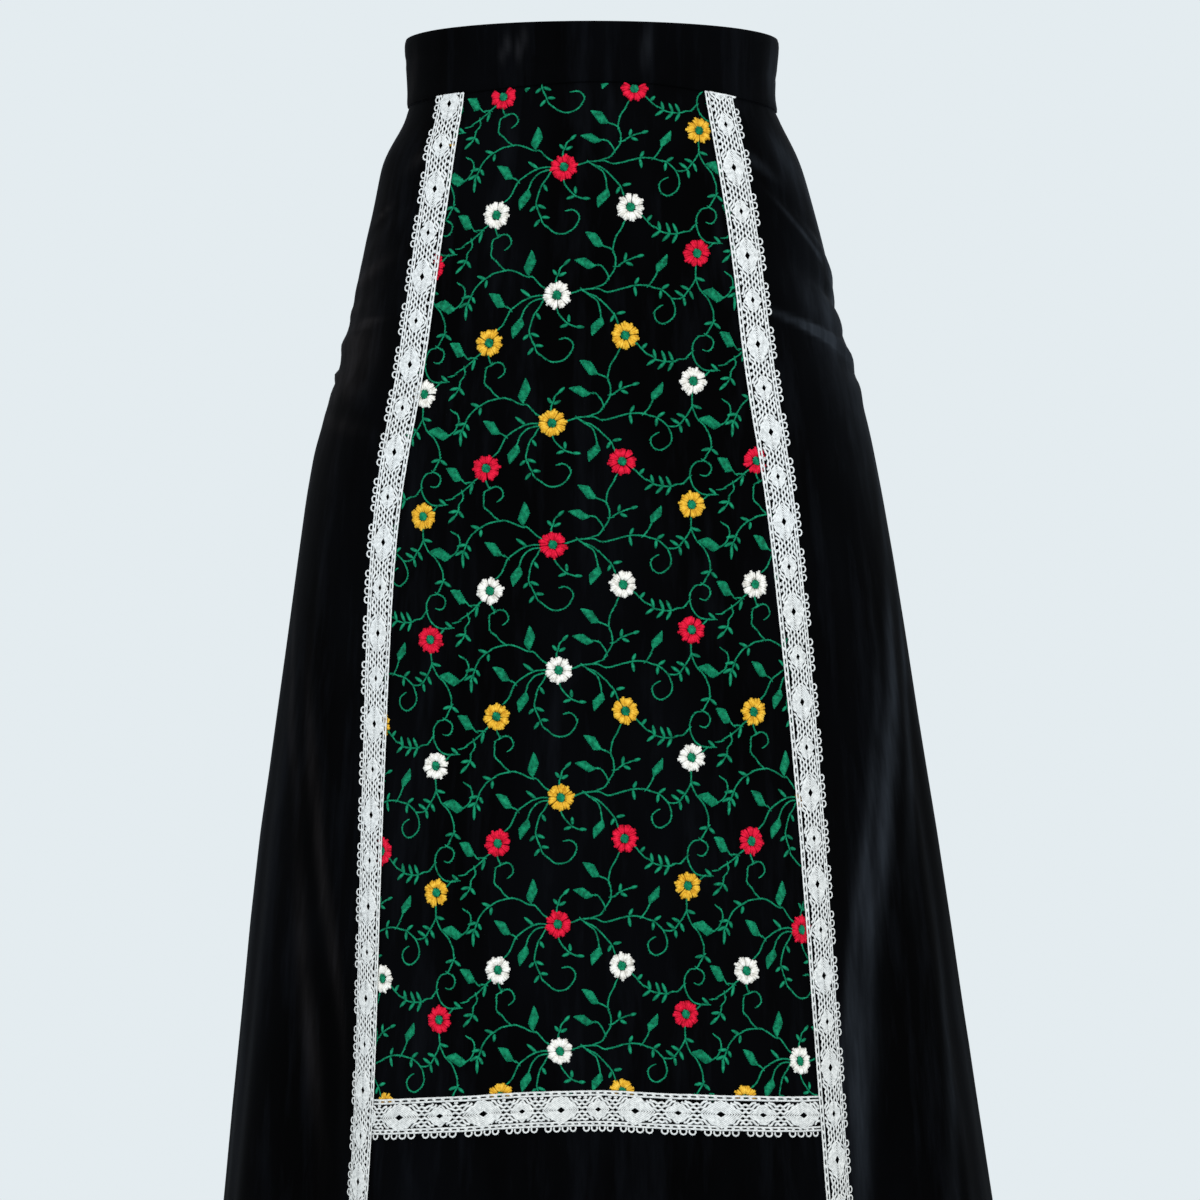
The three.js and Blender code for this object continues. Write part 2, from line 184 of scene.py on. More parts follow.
# Small creases over the worn cloth: rise is the climb per radian of azimuth, depth is outwards
CREASES = table(
    "angle reach z height rise depth",
    (56, 10, -66, 7, -70, 0.9),
    (66, 12, -92, 6, -90, -1.1),
    (77, 9, -113, 4, -86, 1.3),
    (76, 13, -142, 5, -50, -1.2),
    (86, 12, -132, 5, -60, 1.5),
    (84, 12, -153, 5, -50, -2.2),
    (72, 14, -176, 4, -42, 1.5),
    (88, 9, -175, 4, -30, -1.6),
    (80, 15, -176, 3, -46, -1.0),
    (86, 14, -188, 6, -20, 1.4),
    (88, 14, -200, 4, 0, -1.0),
    (86, 16, -220, 8, 18, -0.9),
    (74, 12, -240, 8, 44, -0.9),
    (-58, 9, -60, 7, 66, 0.9),
    (-70, 13, -100, 6, 70, -1.0),
    (-76, 12, -136, 6, 48, 1.2),
    (-84, 10, -158, 4, 22, 1.2),
    (-84, 13, -180, 5, 2, 1.6),
    (-88, 9, -200, 3, -16, 2.8),
    (-86, 16, -211, 8, -6, 1.6),
    (-76, 14, -232, 7, -34, 1.0),
    (122, 14, -84, 7, 40, 1.1),
    (142, 16, -112, 6, 22, -1.2),
    (158, 14, -140, 7, 30, 1.1),
    (134, 18, -206, 8, -14, -1.2),
    (-124, 15, -96, 7, -36, -1.1),
    (-144, 16, -124, 6, -24, 1.2),
    (-160, 13, -156, 7, -30, -1.1),
    (-132, 18, -214, 8, 12, 1.2),
)

# Soft upright folds that start below the hips; each wanders a little as it falls
FALLS = table(
    "angle width start depth wander",
    (-8, 3.2, -420, 1.5, 1.2),
    (11, 3.0, -460, 1.4, -1.4),
    (-19, 3.4, -520, -1.4, 0.9),
    (30, 2.8, -380, -1.4, 1.1),
    (-33, 2.6, -430, -1.5, -0.8),
    (61, 3.2, -230, 2.2, 1.6),
    (78, 2.9, -300, -2.0, -1.2),
    (86, 3.4, -420, 2.4, 1.3),
    (-60, 3.0, -250, 2.0, -1.4),
    (-79, 3.3, -340, -2.0, 1.2),
    (-88, 3.0, -460, 2.2, -1.0),
    (104, 3.8, -300, 2.4, 1.5),
    (124, 3.4, -360, -2.2, -1.1),
    (143, 3.7, -280, 2.6, 1.0),
    (166, 3.5, -330, 2.2, -1.3),
    (-103, 3.6, -310, 2.5, 1.2),
    (-122, 3.5, -280, -2.3, 1.4),
    (-145, 3.6, -350, 2.4, -1.2),
    (-168, 3.4, -300, 2.2, 1.1),
)


# The waist seam bows: it lies this far above its solid's height at each azimuth, in degrees
WAIST_BOW = table(
    "angle rise",
    (-180, 0.0),
    (-140, 0.0),
    (-85, -3.0),
    (-45, -1.5),
    (0, 2.8),
    (25, 1.8),
    (55, -3.4),
    (85, -6.6),
    (140, 0.0),
    (180, 0.0),
)


def waist_bow(azimuth):
    angles = np.radians(np.arange(-180, 181, 4.0))
    rises = read_off(WAIST_BOW, "angle", "rise", np.degrees(angles))
    soft = np.convolve(np.pad(rises, 2, mode="edge"), (0.1, 0.2, 0.4, 0.2, 0.1), mode="valid")
    return np.interp(turn(azimuth), angles, soft)


def waist_seam(azimuth):
    """The height at which the velvet below the waistband starts, sewn to its lower edge."""
    return WAIST_SEAM + waist_bow(azimuth)


# Painted highlight streaks where the pile is brushed up and catches the light, from a height and
# angle down to another; angles in degrees
PAINTED_SHEEN_STREAKS = table(
    "top foot from to reach shine",
    (-270, -620, 83, 56, 1.9, 0.9),
    (-560, -790, 60, 51, 2.6, 0.8),
    (-300, -520, 87, 70, 1.4, 0.6),
    (-380, -680, 70, 50, 1.0, 0.6),
    (-540, -760, 78, 69, 1.2, 0.5),
    (-40, -230, 84, 87, 2.6, 0.7),
    (22, -34, 80, 83, 5.5, 0.9),
    (16, -4, -26, -28, 1.1, 0.9),
    (12, -4, -32, -34, 1.1, 0.9),
    (20, -10, 22, 20, 1.8, 0.4),
    (12, -26, -74, -80, 3.0, 0.5),
    (-330, -470, -84, -70, 1.5, 0.5),
    (-390, -640, -71, -54, 1.2, 0.6),
    (-500, -700, -68, -58, 1.4, 0.5),
    (-200, -560, 118, 108, 1.8, 0.7),
    (-420, -760, 148, 139, 1.6, 0.6),
    (-260, -620, -112, -102, 1.9, 0.7),
    (-450, -800, -150, -138, 1.6, 0.6),
)


# Glints along the sharpest creases and the softer light round them; depth is how bright they are
GLINTS = table(
    "angle reach z height rise depth",
    (72, 7, -114, 2.5, -130, 1.3),
    (69, 11, -176, 2.2, -48, 1.7),
    (74, 9, -160, 14.0, -60, 0.5),
    (74, 7, -62, 16.0, -60, 0.6),
    (82, 10, -190, 95.0, 0, 0.5),
    (-73, 6, -169, 2.2, 12, 1.1),
    (-76, 5, -98, 2.2, 55, 0.9),
    (-74, 8, -190, 18.0, 10, 0.6),
    (-80, 9, -170, 95.0, 0, 0.5),
)


def marks(rows, azimuth, z):
    """The depth of creases that lie across the cloth; for the glints, how bright their painted
    highlight is.
    """
    depth = np.zeros(np.broadcast(azimuth, z).shape)
    for c in rows:
        along = turn(azimuth - np.radians(c["angle"]))
        off = (z - c["z"] - c["rise"] * along) / c["height"]
        depth += c["depth"] * bell(off) * bell(along / np.radians(c["reach"]))
    return depth


def painted_sheen(azimuth, z):
    """How much the pile catches the light, painted into the velvet's colour as a highlight: on the
    crests of creases, along the glints and where the pile is brushed up.
    """
    shine = 0.5 * np.clip(marks(CREASES, azimuth, z), 0, 1.5) ** 2 + marks(GLINTS, azimuth, z)
    for s in PAINTED_SHEEN_STREAKS:
        fall = (s["top"] - z) / (s["top"] - s["foot"])
        centre = np.radians(s["from"] + (s["to"] - s["from"]) * np.clip(fall, 0, 1))
        across = turn(azimuth - centre) / np.radians(s["reach"])
        shine += s["shine"] * bell((fall - 0.5) / 0.42) * bell(across)
    return shine


def relief(azimuth, z):
    """How far the small creases and folds move the cloth outwards."""
    depth = marks(CREASES, azimuth, z)
    for f in FALLS:
        grown = np.clip((f["start"] - z) / 220, 0, 1)
        centre = np.radians(f["angle"] + f["wander"] * np.sin(z / 150))
        across = turn(azimuth - centre) / np.radians(f["width"])
        depth += f["depth"] * grown * bell(across)
    return depth


class Cloth:
    """The velvet's outer face, as a radius for each azimuth and height, measured on the frame."""

    COLUMNS = 360
    ROWS = 201
    SOFTEN = ((1.3, 1), (1.2, 0))  # spread in columns and in rows, with the axis of each

    def __init__(self):
        self.top = TOP - 0.1
        self.step = (self.top - HEM - 0.1) / (self.ROWS - 1)
        self.heights = self.top - self.step * np.arange(self.ROWS)
        tree = tree_of("waistband", *SKIRT_PANELS)
        angles = np.radians(np.arange(self.COLUMNS))
        radii = np.array(
            [[radius_at(tree, a, z) or np.nan for a in angles] for z in self.heights]
        )
        radii[self.heights > WAIST_SEAM] -= BAND_PROUD
        self.radii = self.softened(self.filled(radii))
        self.measure_arcs()

    def filled(self, radii):
        """Rays that slip through a seam are replaced from their neighbours."""
        columns = np.arange(self.COLUMNS)
        for row in radii:
            middle = np.nanmedian([np.roll(row, n) for n in (-2, -1, 0, 1, 2)], axis=0)
            good = np.isfinite(row) & (np.abs(row - middle) < 2.5)
            row[:] = np.interp(columns, columns[good], row[good], period=self.COLUMNS)
        return radii

    def softened(self, radii):
        """Radii evened out with their neighbours, round each row and then up and down."""
        reach = np.arange(-4, 5)
        for spread, axis in self.SOFTEN:
            weights = bell(reach / (spread * np.sqrt(2)))
            weights /= weights.sum()
            if axis:
                padded = np.pad(radii, ((0, 0), (4, 4)), mode="wrap")
            else:
                padded = np.pad(radii, ((4, 4), (0, 0)), mode="reflect", reflect_type="odd")
            windows = np.lib.stride_tricks.sliding_window_view(padded, len(reach), axis=axis)
            radii = windows @ weights
        return radii

    def radius(self, azimuth, z):
        column = np.degrees(azimuth) % self.COLUMNS
        row = np.clip((self.top - z) / self.step, 0, self.ROWS - 1)
        first_column = np.floor(column).astype(int)
        first_row = np.minimum(np.floor(row).astype(int), self.ROWS - 2)
        total = 0
        for j, down in enumerate(cubic_weights(row - first_row)):
            line = np.clip(first_row + j - 1, 0, self.ROWS - 1)
            for i, across in enumerate(cubic_weights(column - first_column)):
                place = (first_column + i - 1) % self.COLUMNS
                total = total + down * across * self.radii[line, place]
        return total + relief(azimuth, z)

    def face(self, azimuth, z):
        r = self.radius(azimuth, z)
        return np.stack([r * np.sin(azimuth), -r * np.cos(azimuth), z + 0 * r], axis=-1)

    def normal(self, azimuth, z):
        turn_step = 0.006
        rise_step = 1.0
        along = self.face(azimuth + turn_step, z) - self.face(azimuth - turn_step, z)
        up = self.face(azimuth, z + rise_step) - self.face(azimuth, z - rise_step)
        return unit(np.cross(along, up))

    def measure_arcs(self):
        """Length of cloth from the centre front, for each half degree of each row."""
        self.arc_angles = np.radians(np.arange(-180, 180.5, 0.5))
        grid = self.face(self.arc_angles[None, :], self.heights[:, None])
        steps = np.linalg.norm(np.diff(grid, axis=1), axis=-1)
        lengths = np.concatenate([np.zeros((self.ROWS, 1)), np.cumsum(steps, axis=1)], axis=1)
        self.arcs = lengths - lengths[:, len(self.arc_angles) // 2][:, None]
        self.widths = np.arange(-260.0, 261.0, 1.0)
        self.width_angles = np.array(
            [np.interp(self.widths, arc, self.arc_angles) for arc in self.arcs]
        )

    def azimuth_at(self, across, z):
        """The azimuth that lies a length of cloth across from the centre front, at a height."""
        column = np.clip(across - self.widths[0], 0, len(self.widths) - 1.001)
        row = np.clip((self.top - z) / self.step, 0, self.ROWS - 1.001)
        i = column.astype(int)
        j = row.astype(int)
        s = column - i
        t = row - j
        angles = self.width_angles
        upper = angles[j, i] * (1 - s) + angles[j, i + 1] * s
        lower = angles[j + 1, i] * (1 - s) + angles[j + 1, i + 1] * s
        return upper * (1 - t) + lower * t

    def across_of(self, azimuth, z):
        """The length of cloth between the centre front and an azimuth, at one height."""
        row = int(np.clip(round((self.top - z) / self.step), 0, self.ROWS - 1))
        return np.interp(azimuth, self.arc_angles, self.arcs[row])

    def place(self, sheet_points):
        """Points given as across, height and lift, on the cloth; and the cloth's normal there."""
        z = sheet_points[..., 1]
        azimuth = self.azimuth_at(sheet_points[..., 0], z)
        normal = self.normal(azimuth, z)
        return self.face(azimuth, z) + normal * sheet_points[..., 2:3], normal


TREES = {name: tree_of(name) for name in WINDOWS}
cloth = Cloth()

ROW_HEIGHTS = np.linspace(SKIRT_TOP - 0.4, HEM + 0.4, 97)
SPANS = {name: spans(name, ROW_HEIGHTS) for name in (*SKIRT_PANELS, "lace_left", "lace_right")}


# Meshes
def add_mesh(name, points, faces, material, smooth=True):
    mesh = bpy.data.meshes.new(name)
    points = np.asarray(points, float).reshape(-1, 3) * MM
    faces = np.asarray(faces, np.int32)
    mesh.vertices.add(len(points))
    mesh.vertices.foreach_set("co", points.ravel())
    mesh.loops.add(faces.size)
    mesh.loops.foreach_set("vertex_index", faces.ravel())
    mesh.polygons.add(len(faces))
    starts = np.arange(0, faces.size, faces.shape[1], dtype=np.int32)
    mesh.polygons.foreach_set("loop_start", starts)
    mesh.update(calc_edges=True)
    mesh.validate()
    mesh.polygons.foreach_set("use_smooth", np.full(len(mesh.polygons), smooth))
    piece = bpy.data.objects.new(name, mesh)
    bpy.context.scene.collection.objects.link(piece)
    mesh.materials.append(material)
    return piece


class Threads:
    """Threads and stitches in one mesh, as flattened four-sided tubes with closed ends."""

    SIDES = 4

    def __init__(self):
        self.points = []
        self.faces = []
        self.count = 0

    def add(self, points, normals, half_width, half_height, closed=False):
        """points and normals are threads × stations × 3; the halves have one value a station."""
        if closed:
            tangent = np.roll(points, -1, axis=1) - np.roll(points, 1, axis=1)
        else:
            tangent = np.gradient(points, axis=1)
        side = unit(np.cross(normals, unit(tangent)))
        up = unit(normals)
        threads, stations = points.shape[:2]
        half_width = np.broadcast_to(half_width, (threads, stations))[..., None, None]
        half_height = np.broadcast_to(half_height, (threads, stations))[..., None, None]
        corner = np.arange(self.SIDES) * 2 * np.pi / self.SIDES
        rings = points[:, :, None, :] + (
            side[:, :, None, :] * np.cos(corner)[:, None] * half_width
            + up[:, :, None, :] * np.sin(corner)[:, None] * half_height
        )
        spans_in = stations if closed else stations - 1
        station = np.arange(spans_in)[:, None]
        a = np.arange(self.SIDES)[None, :]
        b = (a + 1) % self.SIDES
        after = (station + 1) % stations
        here, there = station * self.SIDES, after * self.SIDES
        quads = np.stack([here + a, here + b, there + b, there + a], axis=-1).reshape(-1, 4)
        if not closed:
            last = (stations - 1) * self.SIDES
            ends = np.array([[3, 2, 1, 0], [last, last + 1, last + 2, last + 3]])
            quads = np.concatenate([quads, ends])
        starts = self.count + np.arange(threads) * stations * self.SIDES
        self.points.append(rings.reshape(-1, 3))
        self.faces.append((quads[None] + starts[:, None, None]).reshape(-1, 4))
        self.count += threads * stations * self.SIDES

    def piece(self, name, material):
        return add_mesh(name, np.concatenate(self.points), np.concatenate(self.faces), material)


def shell(name, azimuth, z, outer, inner, materials):
    """A closed wall over a grid of azimuths and heights, with one cloth outside and one inside."""
    rows, columns = azimuth.shape
    base = cloth.face(azimuth, z)
    normal = cloth.normal(azimuth, z)
    points = np.concatenate([
        (base + normal * outer[..., None]).reshape(-1, 3),
        (base + normal * inner[..., None]).reshape(-1, 3),
    ])
    layer = rows * columns
    at = np.arange(layer).reshape(rows, columns)
    front = np.stack([at[:-1, :-1], at[1:, :-1], at[1:, 1:], at[:-1, 1:]], axis=-1).reshape(-1, 4)
    back = front[:, ::-1] + layer
    rim = []
    for line, flip in ((at[0], False), (at[-1], True), (at[:, 0], True), (at[:, -1], False)):
        a, b = line[:-1], line[1:]
        quad = np.stack([a, b, b + layer, a + layer], axis=-1)
        rim.append(quad[:, ::-1] if flip else quad)
    faces = np.concatenate([front, *rim, back])
    piece = add_mesh(name, points, faces, materials[0])
    piece.data.materials.append(materials[1])
    index = np.zeros(len(faces), np.int32)
    index[-len(back) :] = 1
    piece.data.polygons.foreach_set("material_index", index)
    # Each point's painted highlight, which the velvet's material adds to its colour
    painted_sheen_layer = piece.data.attributes.new("painted_sheen", "FLOAT", "POINT")
    painted_sheen_layer.data.foreach_set("value", np.tile(painted_sheen(azimuth, z).ravel(), 2))
    return piece


def spaced(length, step, fine=(0.8, 1.8, 3.2, 5.2)):
    """Shares of a length from 0 to 1, closer together at both ends."""
    count = max(int(round((length - 2 * fine[-1]) / step)), 1)
    inner = np.linspace(fine[-1], length - fine[-1], count + 1)
    low = np.array([0, *fine[:-1]])
    return np.concatenate([low, inner, length - low[::-1]]) / length


def rolled(share, length):
    """How far a panel's edge dips at its seams, for shares of its width."""
    distance = np.minimum(share, 1 - share) * length
    return -SEAM_ROLL["depth"] * bell(distance / SEAM_ROLL["reach"])


def dress(piece, node=None, body=BODY):
    """Puts a piece on its body and hides the node it stands for, if any."""
    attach(piece, body)
    if node:
        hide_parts(node)
    return piece


# Materials
class Nodes:
    """A material's node tree, with short ways to add and join nodes."""

    def __init__(self, name, roughness, metallic=0.0, specular=0.5, sheen=(0.0, 0.5, (1, 1, 1))):
        self.material = bpy.data.materials.new(name)
        self.material.use_nodes = True
        self.tree = self.material.node_tree
        self.shader = self.tree.nodes["Principled BSDF"]
        self.set("Roughness", roughness)
        self.set("Metallic", metallic)
        self.set("Specular IOR Level", specular)
        self.set("Sheen Weight", sheen[0])
        self.set("Sheen Roughness", sheen[1])
        self.set("Sheen Tint", (*sheen[2], 1))
        self.place = self.new("TexCoord").outputs["Object"]

    def set(self, socket, value):
        self.shader.inputs[socket].default_value = value

    def new(self, kind, **values):
        """A node of one kind, with the values of its inputs."""
        node = self.tree.nodes.new("ShaderNode" + kind)
        for socket, value in values.items():
            node.inputs[socket.replace("_", " ")].default_value = value
        return node

    def join(self, output, node, socket):
        self.tree.links.new(output, node.inputs[socket])

    def noise(self, scale, detail=3.0, stretch=None, rough=0.55):
        node = self.new("TexNoise", Scale=scale, Detail=detail, Roughness=rough)
        place = self.place
        if stretch:
            mapping = self.new("Mapping", Scale=stretch)
            self.join(self.place, mapping, "Vector")
            place = mapping.outputs["Vector"]
        self.join(place, node, "Vector")
        return node.outputs["Fac"]

    def ramp(self, value, *stops):
        node = self.new("ValToRGB")
        ramp = node.color_ramp
        while len(ramp.elements) < len(stops):
            ramp.elements.new(0.5)
        for element, (position, colour) in zip(ramp.elements, stops):
            element.position = position
            element.color = (*colour, 1)
        self.join(value, node, "Fac")
        return node.outputs["Color"]

    def mix(self, share, first, second, blend="MIX"):
        node = self.new("Mix")
        node.data_type = "RGBA"
        node.blend_type = blend
        for value, socket in ((share, 0), (first, 6), (second, 7)):
            if isinstance(value, bpy.types.NodeSocket):
                self.tree.links.new(value, node.inputs[socket])
            else:
                node.inputs[socket].default_value = value
        return node.outputs[2]

    def gradient(self, axis, low, high):
        """0 to 1 along one axis of the frame, between two places in metres."""
        split = self.new("SeparateXYZ")
        self.join(self.place, split, "Vector")
        node = self.new("MapRange", From_Min=low, From_Max=high)
        self.join(split.outputs[axis], node, "Value")
        return node.outputs["Result"]

    def bump(self, height, strength, distance):
        node = self.new("Bump", Strength=strength, Distance=distance)
        self.join(height, node, "Height")
        if self.shader.inputs["Normal"].is_linked:
            self.join(self.shader.inputs["Normal"].links[0].from_socket, node, "Normal")
        self.join(node.outputs["Normal"], self.shader, "Normal")

    def attribute(self, name):
        node = self.new("Attribute")
        node.attribute_name = name
        return node.outputs["Fac"]

    def colour(self, output):
        self.join(output, self.shader, "Base Color")


def velvet_material():
    """Dense black pile, with a painted highlight laid into its colour where creases and brushed-up
    pile catch the light: warm at the left, cool at the right.
    """
    m = Nodes("velvet", 0.9, specular=0.02, sheen=(0.013, 0.30, (0.60, 0.72, 0.95)))
    black = (0.0, 0.0, 0.0)
    pressed = m.noise(9, 4, (1.0, 1.0, 0.28), 0.6)
    streaks = m.noise(60, 4, (1.0, 1.0, 0.09), 0.65)
    deep = m.ramp(pressed, (0.42, (0.0003, 0.0003, 0.0004)), (0.74, (0.0016, 0.0019, 0.0027)))
    brushed = m.ramp(streaks, (0.50, black), (0.80, (0.0022, 0.0026, 0.0036)))
    # Painted highlight: the stored painted sheen adds this tint, warm at the left and cool at the
    # right, broken into patches
    warm, cool = (0.0125, 0.0110, 0.0112, 1), (0.0185, 0.0222, 0.0280, 1)
    tone = m.mix(m.gradient("X", -0.12, 0.12), warm, cool)
    patches = m.ramp(streaks, (0.34, (0.25, 0.25, 0.25)), (0.64, (1.0, 1.0, 1.0)))
    uneven = m.mix(1.0, tone, patches, "MULTIPLY")
    lit = m.mix(m.attribute("painted_sheen"), (*black, 1), uneven)
    m.colour(m.mix(1.0, m.mix(1.0, deep, brushed, "ADD"), lit, "ADD"))
    m.bump(m.noise(26, 4, (1.0, 1.0, 0.55)), 0.30, 0.0016)
    m.bump(m.noise(900, 2), 0.25, 0.0002)
    return m.material


def backing_material():
    m = Nodes("velvet_back", 0.9, specular=0.1)
    m.colour(m.ramp(m.noise(220, 3), (0.35, (0.006, 0.006, 0.007)), (0.7, (0.014, 0.014, 0.017))))
    m.bump(m.noise(1400, 2), 0.3, 0.0002)
    return m.material


def thread_material(name, dark, main, light):
    """Embroidery floss: a soft gloss, with shade from stitch to stitch."""
    m = Nodes(name, 0.62, specular=0.10, sheen=(0.08, 0.4, light))
    m.colour(m.ramp(m.noise(420, 3), (0.30, dark), (0.50, main), (0.72, light)))
    m.bump(m.noise(1500, 2, (1.0, 1.0, 1.0)), 0.35, 0.00025)
    return m.material


def lace_material():
    m = Nodes("lace_cotton", 0.86, specular=0.2, sheen=(0.15, 0.5, (1, 1, 1)))
    shade, cotton, light = (0.52, 0.54, 0.55), (0.72, 0.745, 0.76), (0.83, 0.85, 0.86)
    thread = m.ramp(m.noise(520, 3), (0.30, shade), (0.52, cotton), (0.7, light))
    aged = m.mix(m.noise(14, 3), (1.0, 1.0, 1.0, 1), (0.93, 0.90, 0.86, 1))
    lower = m.mix(m.gradient("Z", -0.35, -0.85), (1.0, 1.0, 1.0, 1), (0.90, 0.88, 0.85, 1))
    m.colour(m.mix(1.0, m.mix(1.0, thread, aged, "MULTIPLY"), lower, "MULTIPLY"))
    m.bump(m.noise(1300, 2), 0.4, 0.0003)
    return m.material


def tape_material():
    m = Nodes("zip_tape_cloth", 0.85, specular=0.2)
    weave = m.noise(700, 2, (1.0, 1.0, 0.4))
    m.colour(m.ramp(weave, (0.35, (0.006, 0.006, 0.007)), (0.7, (0.022, 0.022, 0.025))))
    m.bump(m.noise(1100, 2, (1.0, 1.0, 0.3)), 0.5, 0.0003)
    return m.material


def metal_material():
    m = Nodes("zip_gunmetal", 0.34, metallic=1.0)
    m.colour(m.ramp(m.noise(90, 4), (0.3, (0.05, 0.05, 0.055)), (0.7, (0.16, 0.16, 0.17))))
    m.bump(m.noise(500, 3), 0.12, 0.0002)
    return m.material


VELVET_CLOTHS = (velvet_material(), backing_material())
RED, YELLOW, WHITE, GREEN = (
    thread_material("thread_" + floss["name"], floss["dark"], floss["main"], floss["light"])
    for floss in table(
        "name dark main light",
        ("red", (0.32, 0.002, 0.012), (0.61, 0.004, 0.030), (0.76, 0.012, 0.052)),
        ("yellow", (0.47, 0.21, 0.010), (0.69, 0.38, 0.026), (0.83, 0.53, 0.07)),
        ("white", (0.48, 0.45, 0.40), (0.76, 0.73, 0.68), (0.88, 0.86, 0.82)),
        ("green", (0.001, 0.080, 0.038), (0.002, 0.185, 0.088), (0.010, 0.290, 0.140)),
    )
)
LACE = lace_material()
TAPE_CLOTH = tape_material()
METAL = metal_material()


# Velvet panels: how their edges round off, in mm
SEAM_DIP = {"depth": 0.45, "reach": 2.5}
HEM_ROUND = {"depth": 0.5, "reach": 1.6}
BAND_EDGE = {"outer": 0.8, "inner": 0.3, "reach": 1.6}
THINNEST = 0.5
PANEL_STEP = 4.2
FRONT_STEP = 4.6
HIP_STEP = 3.2  # finer, for the glints over the hips
GRID_RADIUS = 210  # turns a panel's widest span into the length that its columns share out


def panel_grid(name, top, bottom, step):
    """A grid of azimuths and heights over a panel; top and bottom are functions of azimuth."""
    heights, low, high = SPANS[name].T
    width = np.max(high - low) * GRID_RADIUS
    across = spaced(width, step)
    down = spaced(abs(top(0.0) - bottom(0.0)), step, (0.8, 2.0, 4.0))
    share, fall = np.meshgrid(across, down)
    z = top(0.0) + (bottom(0.0) - top(0.0)) * fall
    for _ in range(3):
        first = np.interp(z, heights, low) - SEAM_CLOSE
        second = np.interp(z, heights, high) + SEAM_CLOSE
        azimuth = first + (second - first) * share
        z = top(azimuth) + (bottom(azimuth) - top(azimuth)) * fall
    return azimuth, z, share, width


def velvet_panel(name, top, bottom, hemmed=True, step=PANEL_STEP):
    azimuth, z, share, width = panel_grid(name, top, bottom, step)
    outer = rolled(share, width)
    inner = np.full(z.shape, -VELVET)
    outer -= SEAM_DIP["depth"] * bell((z - waist_seam(azimuth)) / SEAM_DIP["reach"])
    if hemmed:
        outer -= HEM_ROUND["depth"] * bell((z - HEM) / HEM_ROUND["reach"])
        turned = np.clip((HEM + HEM_TURN["height"] - z) / HEM_TURN["ease"], 0, 1)
        inner -= HEM_TURN["wall"] * turned
    inner = np.minimum(inner, outer - THINNEST)
    piece = shell("velvet_" + name, azimuth, z, outer, inner, VELVET_CLOTHS)
    return dress(piece, name)


# Creases that run along the waistband
BAND_CREASES = table(
    "angle reach z height rise depth",
    (-44, 16, 5, 2.0, 4, -0.7),
    (-20, 20, -3, 2.4, -5, 0.5),
    (4, 18, 8, 2.2, 3, -0.6),
    (26, 17, -7, 2.6, 6, -0.5),
    (48, 15, 3, 2.0, -4, 0.6),
    (78, 18, -5, 2.4, 5, -0.6),
    (-80, 20, 6, 2.4, -6, -0.6),
    (120, 22, 2, 2.4, 4, 0.5),
    (-124, 20, -6, 2.4, -4, 0.6),
    (152, 18, 7, 2.2, -5, -0.6),
    (-154, 18, 4, 2.2, 5, -0.6),
)
BAND_GRID = {"round": 700, "down": 2.6, "behind": np.radians(170)}


def velvet_waistband():
    """The band is doubled cloth with a turned top edge, crushed a little where it was worn."""
    band = TREES["waistband"]
    first, last = (
        halve(side * BAND_GRID["behind"], side * np.pi, lambda a: meets(band, a, 0))
        for side in (-1, 1)
    )
    across = spaced(BAND_GRID["round"], PANEL_STEP)
    down = spaced(TOP - WAIST_SEAM, BAND_GRID["down"], (0.7, 1.6))
    share, fall = np.meshgrid(across, down)
    azimuth = first + (last - first) * share
    seam = waist_seam(azimuth)
    z = TOP + (seam - TOP) * fall
    edge = bell((z - TOP) / BAND_EDGE["reach"]) + bell((z - seam) / BAND_EDGE["reach"])
    outer = BAND_PROUD - BAND_EDGE["outer"] * edge + marks(BAND_CREASES, azimuth, z)
    inner = np.full(z.shape, -VELVET) + BAND_EDGE["inner"] * edge
    piece = shell("velvet_waistband", azimuth, z, outer, inner, VELVET_CLOTHS)
    return dress(piece, "waistband")


def levels_over(name, inside, outside):
    """Azimuths over a node and the heights at which it ends there, between inside and outside."""
    first, last = span(name, inside)
    angles = np.linspace(first + np.radians(0.2), last - np.radians(0.2), 61)
    return angles, np.array([level(name, a, inside, outside) for a in angles])


def constant(value):
    return lambda azimuth: np.full(np.shape(azimuth), float(value))


def along_levels(levels):
    return lambda azimuth: np.interp(azimuth, *levels)


PANEL_BOTTOM = box_mm("embroidered_panel")[0][2]
PANEL_SEAM = levels_over("embroidered_panel", PANEL_BOTTOM + 30, PANEL_BOTTOM - 30)
LOWER_TOP = levels_over("lower_panel", PANEL_BOTTOM - 30, PANEL_BOTTOM + 60)
LOWER_LACE_LOW, LOWER_LACE_HIGH = (corner[2] for corner in box_mm("lace_lower"))
LACE_TOP = levels_over("lace_lower", (LOWER_LACE_LOW + LOWER_LACE_HIGH) / 2, LOWER_LACE_HIGH + 20)

# The lower lace is sewn on a little unevenly: how far it lies above its solid at each azimuth
LACE_RISE = table(
    "angle rise",
    (-45, 1.8),
    (-34, 0.2),
    (-24, -0.7),
    (-8, 0.0),
    (2, 0.0),
    (14, -1.0),
    (25, -0.4),
    (34, 0.9),
    (40, 2.1),
    (46, 4.0),
)
LACE_TOP[1][:] += read_off(LACE_RISE, "angle", "rise", np.degrees(LACE_TOP[0]))

BAND = velvet_waistband()
front = velvet_panel("embroidered_panel", waist_seam, along_levels(PANEL_SEAM), False, FRONT_STEP)
PANELS = {
    "embroidered_panel": front,
    "lower_panel": velvet_panel("lower_panel", along_levels(LOWER_TOP), constant(HEM)),
}
for side_panel in SKIRT_PANELS[2:]:
    step = HIP_STEP if side_panel.startswith("side_front") else PANEL_STEP
    PANELS[side_panel] = velvet_panel(side_panel, waist_seam, constant(HEM), step=step)


# Embroidery. It repeats in cells; each hangs from a main flower, with y growing downwards.
CELL = {"width": 170, "height": 78.6}
CELL_ROWS = range(-1, 9)
CELL_COLUMNS = (-1, 0, 1)
CHART_TILT = 0.035  # the chart was drawn on cloth that tilts by this much

